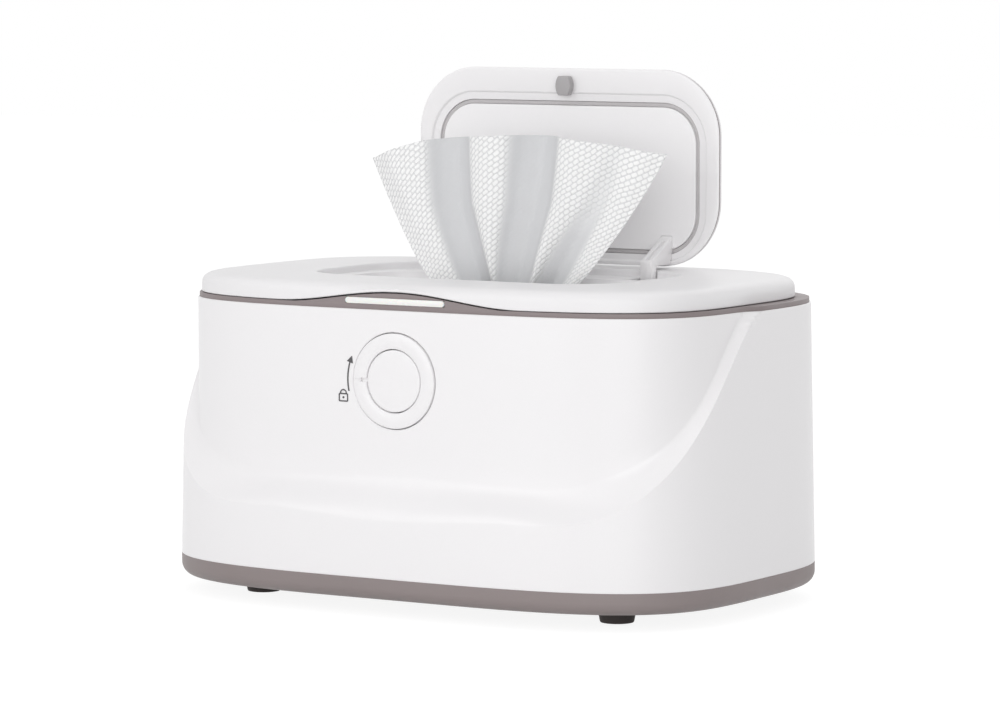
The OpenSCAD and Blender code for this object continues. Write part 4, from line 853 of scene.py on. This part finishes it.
class WARMER_OT_lid(bpy.types.Operator):
    """Makes the main lid with its wave, its recess and its slot"""

    bl_idname = "warmer.lid"
    bl_label = "Make the lid"

    def execute(self, context):
        lid = context.scene.warmer_lid
        centre = np.array([0.0, 0.008])
        angles = (np.arange(lid.steps) + 0.5) * (2 * math.pi / lid.steps)
        fine = np.arange(1440) * (2 * math.pi / 1440)
        plan = plan_radius(lid.width / 2, lid.depth / 2, lid.squareness, fine)

        def lying(outline, z):
            r = ray_radius(outline, centre, angles)
            x = centre[0] + r * np.cos(angles)
            y = centre[1] + r * np.sin(angles)
            return np.column_stack([x, y, np.full(len(angles), z)])

        def oval(inset, z):
            r = plan - inset
            return lying(np.column_stack([r * np.cos(fine), r * np.sin(fine)]), z)

        def hollow(shape, grow, z):
            width, depth, radius, y = shape
            g = grow * MM
            return lying(oblong(width + 2 * g, depth + 2 * g, radius + g, 40, 2) + np.array([0, y]), z)

        def edge(inset, lift=0.0):
            ring = oval(inset, 0.0)
            ring[:, 2] = np.where(ring[:, 1] < 0, wave_height(lid, ring[:, 0]), lid.low) + lift
            return ring

        # Outside, from the waved lower edge up to the top: inset and height in millimetres
        profile = [(0, 3.0), (0.03, 3.7), (0.16, 4.5), (0.42, 5.25), (0.85, 5.95), (1.45, 6.55),
                   (2.2, 7.05), (3.2, 7.48), (4.4, 7.78), (6, 7.98), (8.5, 8.12), (12, 8.2)]
        waved = edge(0, 0.5 * MM)
        waved[:, 2] = np.maximum(waved[:, 2], lid.low + 1.2 * MM)
        rings = [edge(0.3 * MM), edge(0, 0.3 * MM), waved]
        for inset, height in profile:
            ring = oval(inset * MM, lid.low + height * MM)
            if height < 6.2:
                ring[:, 2] = np.maximum(ring[:, 2], edge(0, (0.8 + 0.1 * height) * MM)[:, 2])
            rings.append(ring)
        # Down into the recess, the well and the slot: growth of the hollow in millimetres and height
        top = lid.low + lid.height
        floor = top - lid.sink
        well_floor = floor - lid.well_sink
        under = lid.low + 0.1 * MM
        for grow, drop in ((1.7, 0.0), (1.1, -0.03), (0.6, -0.14), (0.22, -0.36), (0.04, -0.7), (0, -1.1)):
            rings.append(hollow(RECESS, grow, top + drop * MM))
        for grow, lift in ((0, 0.6), (-0.15, 0.2), (-0.5, 0.0)):
            rings.append(hollow(RECESS, grow, floor + lift * MM))
        for grow, drop in ((0.4, 0), (0.1, -0.1), (0, -0.4)):
            rings.append(hollow(WELL, grow, floor + drop * MM))
        for grow, lift in ((0, 0.5), (-0.15, 0.15), (-0.5, 0)):
            rings.append(hollow(WELL, grow, well_floor + lift * MM))
        for grow, z in ((4, well_floor), (0.3, well_floor), (0, well_floor - 0.3 * MM), (0, under)):
            rings.append(hollow(SLOT, grow, z))
        # Back along the underside to the lower edge
        rings += [hollow(RECESS, 2, under), hollow(RECESS, 2, lid.low + 5.9 * MM)]
        rings += [oval(6 * MM, lid.low + 5.9 * MM), oval(3.6 * MM, lid.low + 5.4 * MM)]
        inner = oval(lid.wall, 0.0)
        inner[:, 2] = np.maximum(edge(0)[:, 2] + 0.6 * MM, lid.low + 3.2 * MM)
        rings += [inner, edge(lid.wall), rings[0]]
        skin = wrapped("lid_skin", rings)
        for side in (-1, 1):
            x = context.scene.warmer_flap.arm_place * side
            for half, front, back, ceiling in ((0.0033, 0.02835, 0.0441, top + 0.001),
                                               (0.0030, 0.0431, 0.0535, 0.1262)):
                cut(skin, block("cutter", (x - half, front, lid.low - 0.002), (x + half, back, ceiling)))
        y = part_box("flap_keeper")[0].y
        cut(skin, block("cutter", (-0.0052, y, well_floor - 0.7 * MM), (0.0052, y + 0.0112, top)))
        smooth(skin, 30)
        settle(skin, "lid", FINISHES["Lid plastic"], ("lid_shell",))
        self.knuckles(lid)
        return {"FINISHED"}

    def knuckles(self, lid):
        """Hinge knuckles behind the lid and the lugs of the flap's hinge below it."""
        pin = 0.00155
        near = 0.036
        reach = 0.024
        lug = 0.0024
        y = lid.depth / 2 + 0.0034
        z = lid.low + 0.0029
        tube = [(pin, 0), (0.0024, 0), (0.0026, 0.0002), (0.0026, reach - 0.0002), (0.0024, reach),
                (pin, reach), (pin, 0)]
        eye = [(pin, 0), (0.0032, 0), (0.0032, lug), (pin, lug), (pin, 0)]
        parts = []
        for side in (-1, 1):
            x = near if side > 0 else -near - reach
            parts.append(turned("knuckle", tube, (x, y, z), "X", 64))
            parts.append(block("web", (x, lid.depth / 2 - 0.002, z - 0.0016),
                               (x + reach, y - 0.0017, z + 0.0016), 0.0003))
            for place_x in (0.0416, 0.0500):
                x = place_x if side > 0 else -place_x - lug
                parts.append(turned("lug", eye, (x, lid.flap_axis_y, lid.flap_axis_z), "X", 48))
                parts.append(block("lug", (x, lid.flap_axis_y - 0.003, lid.flap_axis_z + 0.002),
                                   (x + lug, lid.flap_axis_y + 0.003, lid.flap_axis_z + 0.0068)))
        piece = joined("lid_knuckles", parts)
        smooth(piece, 35)
        settle(piece, "lid", FINISHES["Lid plastic"])


# Working solids that are shown with softer edges: piece, body, slot, finish and edge rounding in millimetres

EASED_BAND = {
    "top_frame": ("frame_skin", "base", "frame_plastic", "Frame plastic", 0.2),
    "light_bar": ("light_cover", "base", "light_plastic", "Light cover", 0.2),
    "wipe_tub": ("tub_skin", "base", "inner_plastic", "Inner plastic", 0.3),
    "lid_liner": ("liner_skin", "lid", "inner_plastic", "Inner plastic", 0.2),
    "lid_gasket": ("gasket_skin", "lid", "soft_rubber", "Seal rubber", 0.3),
    "dispenser_ring": ("slot_ring", "lid", "inner_plastic", "Inner plastic", 0.2),
    "lid_catch": ("catch_tongue", "lid", "inner_plastic", "Inner plastic", 0.2),
    "latch_lever": ("lever_skin", "latch_body", "inner_plastic", "Inner plastic", 0.2),
    "lid_hinge_pins": ("lid_pins", "base", "steel", "Steel", 0.1),
    "knob_housing": ("housing_skin", "base", "grey_plastic", "Frame plastic", 0.0),
    "dc_socket": ("socket_skin", "base", "dark_plastic", "Dark plastic", 0.0),
}
EASED_FLAP = {
    "flap_catch": ("flap_leaf", "flap", "grey_plastic", "Catch plastic", 0.4),
    "flap_arms": ("arms_skin", "flap", "white_plastic", "White plastic", 0.2),
    "flap_hinge_pins": ("flap_pins", "lid", "steel", "Steel", 0.1),
}


def show_eased(pieces):
    """Shows a group of working solids with softer edges."""
    for node, (name, body, slot, look, rounding) in pieces.items():
        eased_copy(node, name, body, FINISHES[look], rounding * MM)


class WARMER_OT_band(bpy.types.Operator):
    """Makes the grey frame, its light bar, the tub and other parts that keep their working shape"""

    bl_idname = "warmer.band"
    bl_label = "Make the frame and the tub"

    def execute(self, context):
        show_eased(EASED_BAND)
        return {"FINISHED"}


class WARMER_OT_knob(bpy.types.Operator):
    """Makes the lock ring and the push button"""

    bl_idname = "warmer.knob"
    bl_label = "Make the ring and the button"

    def execute(self, context):
        knob = context.scene.warmer_knob
        self.lock_ring(knob)
        self.button(knob)
        spring = eased_copy("button_spring", "spring_skin", "base", FINISHES["Steel"])
        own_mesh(spring)
        return {"FINISHED"}

    def lock_ring(self, knob):
        """The ring with its flange behind, a grip notch and a fine mark."""
        e = knob.edge
        bore = knob.ring_bore
        outer = knob.ring_radius
        front = knob.ring_front
        z = knob.height
        depth = 0.0036
        flange = 0.0205
        back = depth + 0.002
        profile = [(bore, back), (bore, e), (bore + 0.3 * e, 0.3 * e), (bore + e, 0), (outer - e, 0),
                   (outer - 0.3 * e, 0.3 * e), (outer, e), (outer, depth), (flange, depth), (flange, back),
                   (bore, back)]
        ring = turned("lock_ring_skin", profile, (0, front, z), "Y", 144)
        for left, right, deep, half in ((-bore - 0.0026, -bore + 0.001, 0.0011, 0.0008),
                                        (-outer - 0.001, -bore - 0.0020, 0.0004, 0.0003)):
            cut(ring, block("cutter", (left, front - 0.001, z - half), (right, front + deep, z + half)))
        smooth(ring, 30)
        settle(ring, "lock_ring_body", FINISHES["White plastic"], ("lock_ring",))

    def button(self, knob):
        """The button with its collar and its stem."""
        e = knob.edge
        r = knob.button_radius
        stem = 0.0038
        collar = r + 0.0016
        profile = [(0, 0), (0.5 * r, 0), (r - 2 * e, 0), (r - e, 0.08 * e), (r - 0.3 * e, 0.4 * e),
                   (r, 1.1 * e), (r, 0.006), (collar, 0.006), (collar, 0.0074), (stem, 0.0074),
                   (stem, 0.0169), (0.85 * stem, 0.0173), (0.5 * stem, 0.0176), (0, 0.0177)]
        button = turned("button_skin", profile, (0, knob.button_front, knob.height), "Y", 128)
        smooth(button, 30)
        settle(button, "button_body", FINISHES["White plastic"], ("open_button",))


class WARMER_OT_flap(bpy.types.Operator):
    """Makes the dispensing flap, its panel, its seal, its catch and its arms"""

    bl_idname = "warmer.flap"
    bl_label = "Make the flap"

    def execute(self, context):
        flap = context.scene.warmer_flap

        def standing(width, height, radius, y, z, scale):
            flat = oblong(width, height, radius, 24, 8) * scale
            return np.column_stack([flat[:, 0], np.full(len(flat), flap.face + y), z + flat[:, 1]])

        def shell_ring(inset, y, scale=1.0):
            i = inset * MM
            return standing(flap.width - 2 * i, flap.height - 2 * i, max(flap.radius - i, 0.004), y * MM,
                            flap.bottom + flap.height / 2, scale)

        def sunk_ring(side, top, bottom, radius, inset, depth, scale):
            i = inset * MM
            height = flap.height - top - bottom
            middle = flap.bottom + bottom + height / 2
            return standing(flap.width - 2 * side - 2 * i, height - 2 * i, max(radius - i, 0.003),
                            depth * MM, middle, scale)

        dish_plan = (flap.dish_side, flap.dish_top, flap.dish_bottom, flap.dish_radius)
        pocket_plan = (flap.panel_side, flap.panel_top, flap.panel_bottom, flap.panel_radius)

        def dish_ring(inset, depth):
            return sunk_ring(*dish_plan, inset, depth, 1.0)

        def pocket_ring(inset, depth, scale=1.0):
            return sunk_ring(*pocket_plan, inset, depth, scale)

        # Insets and depths are in millimetres
        edge = flap.edge / MM
        seam = flap.seam / MM
        dish = flap.dish_depth / MM
        floor = dish + flap.panel_thickness / MM
        crown = edge + flap.crown / MM
        hollow = [(1, floor), (0, floor), (0, dish + 0.2), (-0.05, dish + 0.05), (-0.2, dish)]
        lip = [(0.9, dish), (0.7, dish - 0.06), (0.15, 0.15), (0.0, 0.04), (-0.15, 0.0)]
        outside = [(1.0, 0), (0.45, 0.03), (0.12, 0.2), (0, 0.4), (0, 0.5), (0.08, 0.6), (1.2, 0.6),
                   (1.2, 0.6 + seam), (0.08, 0.6 + seam), (0, 0.7 + seam), (0, edge), (0.1, edge + 0.35),
                   (0.4, edge + 0.7), (0.9, edge + 1.0), (1.8, edge + 1.4), (3.2, edge + 1.76),
                   (5.5, edge + 2.1), (9, edge + 2.36), (14, edge + 2.52), (20, edge + 2.58)]
        rings = [pocket_ring(1, floor, 0.0)] + [pocket_ring(i, y) for i, y in hollow]
        rings += [dish_ring(i, y) for i, y in lip] + [shell_ring(i, y) for i, y in outside]
        rings += [shell_ring(20, crown, 0.6), shell_ring(20, crown, 0.0)]
        self.piece("flap_skin", rings, 30, "white_plastic", "White plastic", ("flap_shell",))
        # Painted shadow: a strip of dark frame plastic lies in the bottom of the seam round the flap, where
        # only shade falls
        shadow_strip_rings = [(0.4, 0.58), (0.4, 0.62 + seam), (1.3, 0.62 + seam), (1.3, 0.58), (0.4, 0.58)]
        self.piece("seam_line", [shell_ring(i, y) for i, y in shadow_strip_rings], 30, "frame_plastic", "Frame plastic")
        g = flap.groove / MM + 0.1
        back = floor - 0.1
        plate = [(g + 1, back), (g, back), (g, dish + 0.35), (g + 0.08, dish + 0.14),
                 (g + 0.3, dish + 0.02), (g + 0.6, dish), (g + 5, dish)]
        rings = [pocket_ring(g + 1, back, 0.0)] + [pocket_ring(i, y) for i, y in plate]
        rings += [pocket_ring(g + 5, dish, 0.5), pocket_ring(g + 5, dish, 0.0)]
        self.piece("panel_skin", rings, 30, "inner_plastic", "Inner plastic", ("flap_panel",), flap)
        bead = [(0.1, 1.7), (0.1, 1.0), (0.25, 0.8), (0.6, 0.7), (1.2, 0.7), (1.6, 0.8), (1.75, 1.0),
                (1.75, 1.7), (0.1, 1.7)]
        rings = [pocket_ring(i, dish + d) for i, d in bead]
        self.piece("seal_skin", rings, 35, "soft_rubber", "Seal rubber", ("flap_seal",), flap)
        show_eased(EASED_FLAP)
        return {"FINISHED"}

    def piece(self, name, rings, angle, slot, look, nodes=(), flap=None):
        """One piece of the flap. Where the flap's sizes are given, room is cut for the arms' feet."""
        obj = wrapped(name, rings)
        if flap is not None:
            for side in (-1, 1):
                x = flap.arm_place * side
                cut(obj, block("cutter", (x - 0.0027, flap.face - 0.003, flap.bottom),
                               (x + 0.0027, flap.face + 0.006, flap.bottom + flap.arm_reach)))
        smooth(obj, angle)
        settle(obj, "flap", FINISHES[look], nodes)


# The wipe's cut is a fan: 158 mm along its top row, 73 mm along the neck and 73 mm high in the middle. On
# average its rows are 110 mm long and it is 70 mm high

# Free upper edge of the wipe: place across from -1 to 1, and how far it lies below the top in millimetres

UPPER_EDGE = ((-1, 11.3), (-0.8, 6.7), (-0.58, 2.5), (-0.28, 0.9), (0, 0), (0.34, 0.2), (0.63, 2.3), (1, 6.6))

# Edges of the three valleys, left to right, each at the neck, a little above halfway and at the top. Between
# them the finish paints shade on the cloth

VALLEY_EDGES = ((-0.67, -0.675, -0.583), (-0.25, -0.32, -0.279), (-0.20, -0.05, 0.0), (0.25, 0.35, 0.336),
                (0.31, 0.60, 0.68), (0.72, 0.78, 0.76))


class WARMER_OT_wipe(bpy.types.Operator):
    """Makes the wipe that stands fanned out in the slot"""

    bl_idname = "warmer.wipe"
    bl_label = "Make the wipe"

    def execute(self, context):
        wipe = context.scene.warmer_wipe
        across = 360
        up = 110
        points, ridge_share = self.form(wipe, across, up)
        clear_selection()
        bpy.ops.mesh.primitive_grid_add(x_subdivisions=across, y_subdivisions=up, size=1.0,
                                        location=(0, 0, 0))
        cloth = bpy.context.object
        cloth.name = "wipe_cloth"
        mesh = cloth.data
        mesh.vertices.foreach_set("co", points.reshape(-1, 3).astype(np.float32).ravel())
        mesh.update()
        self.measure(mesh, points)
        # The ridge share goes to the finish, which paints shade where it is low
        ridge = mesh.attributes.new("ridge", "FLOAT", "POINT")
        ridge.data.foreach_set("value", ridge_share.astype(np.float32).ravel())
        bpy.ops.object.mode_set(mode="EDIT")
        bpy.ops.mesh.select_all(action="SELECT")
        bpy.ops.mesh.flip_normals()
        bpy.ops.object.mode_set(mode="OBJECT")
        thick = cloth.modifiers.new("Cloth thickness", "SOLIDIFY")
        thick.thickness = wipe.thickness
        thick.offset = 0.0
        apply_modifier(cloth, thick)
        pick(cloth)
        bpy.ops.object.shade_smooth()
        settle(cloth, "lid", FINISHES["Wipe cloth"], ("wipe_sheet",))
        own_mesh(cloth)
        return {"FINISHED"}

    def form(self, wipe, across, up):
        """Points of the cloth in rows from the tail up, and how far each is on a ridge, which the finish
        reads to paint shade off the ridges.
        """
        u = np.linspace(-1, 1, across + 1)
        v = np.linspace(-wipe.tail / wipe.height, 1, up + 1)
        grid_u, grid_v = np.meshgrid(u, v)
        rise = np.clip(grid_v, 0, 1)
        half = wipe.neck / 2 + (wipe.width - wipe.neck) / 2 * rise ** 0.8
        drop = np.interp(u, *zip(*UPPER_EDGE))
        tall = wipe.height - self.softened(drop[None, :], 9) * MM
        depth, ridge_share = self.pleats(u, v)
        right_narrower = 1 - 0.16 * np.clip(grid_u, 0, 1) * (1 - rise) ** 2
        ripple = 0.15 * MM * np.sin(14 * grid_u + 5 * grid_v)
        x = half * grid_u * right_narrower
        y = wipe.place + depth * MM + ripple
        z = wipe.slot_height + np.where(grid_v < 0, grid_v * wipe.height, grid_v * tall)
        return np.stack([x, y, z], axis=-1), ridge_share

    def softened(self, rows, reach):
        """Each row smoothed along its length by a bell of the given reach."""
        step = np.arange(-2 * reach, 2 * reach + 1)
        bell = np.exp(-0.5 * (step / reach) ** 2)
        bell /= bell.sum()
        wide = np.pad(rows, ((0, 0), (2 * reach, 2 * reach)), mode="edge")
        return np.stack([np.convolve(row, bell, mode="valid") for row in wide])

    def pleats(self, u, v):
        """Place of the cloth along Y in millimetres and its share of ridge, at each height v. The finish
        paints shade where the share of ridge is low.
        """
        places = []
        shares = []
        for level in v:
            t = min(max(level, 0.0), 1.0)
            a, b, c, d, e, f = [np.interp(t, (0, 0.55, 1), track) for track in VALLEY_EDGES]
            # Each knot: place across, place along Y at the neck and at the top
            knots = [(-1, -5.0, 2.0), (-0.84, -4.6, -4.6), (a - 0.02, -3.4, -4.4), (a + 0.05, 0.2, 2.0),
                     ((a + b) / 2, 2.8, 5.8), (b - 0.05, 0.2, 2.0), (b + 0.02, -2.6, -5.0),
                     ((b + c) / 2, -3.6, -7.6), (c - 0.02, -2.6, -5.0), (c + 0.05, 0.2, 2.0),
                     ((c + d) / 2, 2.6, 6.6), (d - 0.05, 0.2, 1.6), (d + 0.02, -2.6, -5.0),
                     ((d + e) / 2, -3.2, -7.0), (e, -1.0, -3.2), ((e + f) / 2, 2.4, -0.6),
                     (f + 0.03, 0.0, -0.4), (0.9, -2.2, 0.2), (1, -1.4, 4.8)]
            depths = [low * (1 - t) + high * t for spot, low, high in knots]
            places.append(np.interp(u, [knot[0] for knot in knots], depths))
            # Painted shade in the third valley: strong near the neck, fading towards the top
            third = np.interp(t, (0, 0.35, 0.6, 1), (1, 0.9, 0.45, 0.1))
            share = 1 - self.window(u, a, b) - self.window(u, c, d) - third * self.window(u, e, f, 0.09)
            shares.append(np.clip(share, 0, 1))
        return self.softened(np.array(places), 5), self.softened(np.array(shares), 2)

    def window(self, u, low, high, soft=0.045):
        """1 between two places across and 0 outside them, with soft ends."""
        return ease((u - low) / soft + 0.5) * ease((high - u) / soft + 0.5)

    def measure(self, mesh, points):
        """A UV map in metres, mostly as measured on the cloth and partly as a row near the top spreads."""
        measured_share = 0.6
        half_spread = 0.09
        run = np.linalg.norm(np.diff(points, axis=1), axis=2)
        along = np.concatenate([np.zeros((len(points), 1)), np.cumsum(run, axis=1)], axis=1)
        along -= along[:, along.shape[1] // 2][:, None]
        spread = along[-12] / np.abs(along[-12]).max() * half_spread
        stretched = measured_share * along + (1 - measured_share) * spread[None, :]
        climb = np.linalg.norm(np.diff(points, axis=0), axis=2)
        height = np.concatenate([np.zeros((1, points.shape[1])), np.cumsum(climb, axis=0)], axis=0)
        layer = mesh.uv_layers.active or mesh.uv_layers.new(name="UVMap")
        index = np.zeros(len(mesh.loops), dtype=np.int32)
        mesh.loops.foreach_get("vertex_index", index)
        flat = np.stack([stretched.ravel()[index], height.ravel()[index]], axis=-1)
        layer.data.foreach_set("uv", flat.astype(np.float32).ravel())


class WARMER_OT_works(bpy.types.Operator):
    """Gives the working parts inside their finishes"""

    bl_idname = "warmer.works"
    bl_label = "Finish the working parts"

    def execute(self, context):
        plan = {
            "base_screws": ["Steel"], "frame_screws": ["Steel"], "heater_plate": ["Aluminium"],
            "heating_film": ["Heating film"], "insulation_pad": ["Insulation felt"],
            "heater_cover": ["Inner plastic"], "heater_screws": ["Steel"], "thermostat": ["Dark plastic"],
            "temperature_sensor": ["Dark plastic"], "control_board": ["Green board"],
            "board_components": ["Dark plastic", "Aluminium"], "board_screws": ["Steel"],
            "heater_leads": ["Red wire"], "sensor_leads": ["Pale wire"], "light_leads": ["Dark wire"],
            "light_board": ["Green board", "Lamp resin"], "housing_screws": ["Steel"],
            "latch_pin": ["Steel"], "latch_spring": ["Steel"],
            "lock_symbols": ["Printing ink"], "liner_screws": ["Steel"], "flap_keeper": ["Inner plastic"],
        }
        for node, names in plan.items():
            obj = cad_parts[node]
            for index, slot in enumerate(obj.material_slots):
                slot.material = FINISHES[names[min(index, len(names) - 1)]]
        return {"FINISHED"}


class WARMER_OT_stage(bpy.types.Operator):
    """Makes the pale floor, the light and the camera"""

    bl_idname = "warmer.stage"
    bl_label = "Set the stage"

    def execute(self, context):
        stage = context.scene.warmer_stage
        clear_selection()
        bpy.ops.mesh.primitive_plane_add(size=8.0, location=(0, 0, 0))
        floor = bpy.context.object
        floor.name = "floor"
        floor.data.materials.append(self.pale_floor())
        self.world(stage)
        for name, spot, size in LAMPS:
            self.lamp(name + "_light", spot, size, getattr(stage, name))
        camera = bpy.data.cameras.new("camera")
        camera.lens = stage.lens
        camera.sensor_width = 36.0
        camera.clip_end = 50.0
        eye = bpy.data.objects.new("camera", camera)
        context.scene.collection.objects.link(eye)
        self.aim(eye, stage.eye, stage.target)
        context.scene.camera = eye
        context.scene.view_settings.view_transform = "Standard"
        return {"FINISHED"}

    def aim(self, obj, spot, target):
        """Puts a light or a camera in its place and turns it to a point."""
        obj.location = spot
        obj.rotation_mode = "QUATERNION"
        obj.rotation_quaternion = (Vector(target) - Vector(spot)).to_track_quat("-Z", "Y")

    def lamp(self, name, spot, size, power):
        """A square area light that points at the warmer."""
        light = bpy.data.lights.new(name, "AREA")
        light.shape = "SQUARE"
        light.size = size
        light.energy = power
        obj = bpy.data.objects.new(name, light)
        bpy.context.scene.collection.objects.link(obj)
        self.aim(obj, spot, (0, 0, 0.08))

    def seen_directly(self, tree):
        """1 where the camera, a reflection or a transmitted ray looks, else 0."""
        path = tree.nodes.new("ShaderNodeLightPath")
        either = calculated(tree, "MAXIMUM", path.outputs["Is Camera Ray"], path.outputs["Is Glossy Ray"])
        return calculated(tree, "MAXIMUM", either, path.outputs["Is Transmission Ray"])

    def mixed_output(self, tree, output, share, first, second):
        """Shows the second shader where the share is 1, and the first elsewhere."""
        mix = node_with(tree, "ShaderNodeMixShader", {0: share, 1: first.outputs[0], 2: second.outputs[0]})
        node_with(tree, output, {"Surface": mix.outputs[0]})

    def pale_floor(self):
        """A white floor that keeps a soft shadow."""
        material = bpy.data.materials.new("Pale floor")
        material.use_nodes = True
        tree = material.node_tree
        tree.nodes.clear()
        matt = node_with(tree, "ShaderNodeBsdfDiffuse", {"Color": (0.85, 0.85, 0.85, 1)})
        glow = node_with(tree, "ShaderNodeEmission", {"Color": (1, 1, 1, 1), "Strength": 1.2})
        share = calculated(tree, "MULTIPLY", self.seen_directly(tree), 0.74)
        self.mixed_output(tree, "ShaderNodeOutputMaterial", share, matt, glow)
        return material

    def world(self, stage):
        """A plain room: white where it is seen, softer where it lights."""
        world = bpy.context.scene.world or bpy.data.worlds.new("World")
        bpy.context.scene.world = world
        world.use_nodes = True
        tree = world.node_tree
        tree.nodes.clear()
        kind = "ShaderNodeBackground"
        light = node_with(tree, kind, {"Color": (0.99, 0.99, 1.0, 1), "Strength": stage.fill})
        seen = node_with(tree, kind, {"Color": (1, 1, 1, 1), "Strength": 1.0})
        self.mixed_output(tree, "ShaderNodeOutputWorld", self.seen_directly(tree), light, seen)


class WARMER_PT_panel(bpy.types.Panel):
    """The warmer's sizes, colours and steps"""

    bl_idname = "WARMER_PT_panel"
    bl_label = "Wipe warmer"
    bl_space_type = "VIEW_3D"
    bl_region_type = "UI"
    bl_category = "Wipe warmer"

    def draw(self, context):
        layout = self.layout
        for name, kind in SETTINGS.items():
            box = layout.box()
            group = getattr(context.scene, name)
            for key in kind.__annotations__:
                box.prop(group, key)
        for operator in STEPS:
            layout.operator(operator.bl_idname)


SETTINGS = {
    "warmer_casing": CasingSettings,
    "warmer_tray": TraySettings,
    "warmer_lid": LidSettings,
    "warmer_knob": KnobSettings,
    "warmer_flap": FlapSettings,
    "warmer_wipe": WipeSettings,
    "warmer_finish": FinishSettings,
    "warmer_stage": StageSettings,
}
STEPS = (
    WARMER_OT_stage,
    WARMER_OT_finishes,
    WARMER_OT_casing,
    WARMER_OT_tray,
    WARMER_OT_band,
    WARMER_OT_knob,
    WARMER_OT_lid,
    WARMER_OT_flap,
    WARMER_OT_works,
    WARMER_OT_wipe,
)


def register():
    """Registers the settings, the operators and the panel."""
    for name, kind in SETTINGS.items():
        bpy.utils.register_class(kind)
        setattr(bpy.types.Scene, name, PointerProperty(type=kind))
    for kind in (*STEPS, WARMER_PT_panel):
        bpy.utils.register_class(kind)


def unregister():
    """Takes them away again."""
    for kind in reversed((*STEPS, WARMER_PT_panel)):
        bpy.utils.unregister_class(kind)
    for name, kind in SETTINGS.items():
        delattr(bpy.types.Scene, name)
        bpy.utils.unregister_class(kind)


def main():
    """Builds the warmer in order."""
    register()
    for step in STEPS:
        area, name = step.bl_idname.split(".")
        getattr(getattr(bpy.ops, area), name)()
    bpy.context.view_layer.update()


if __name__ == "__main__":
    main()
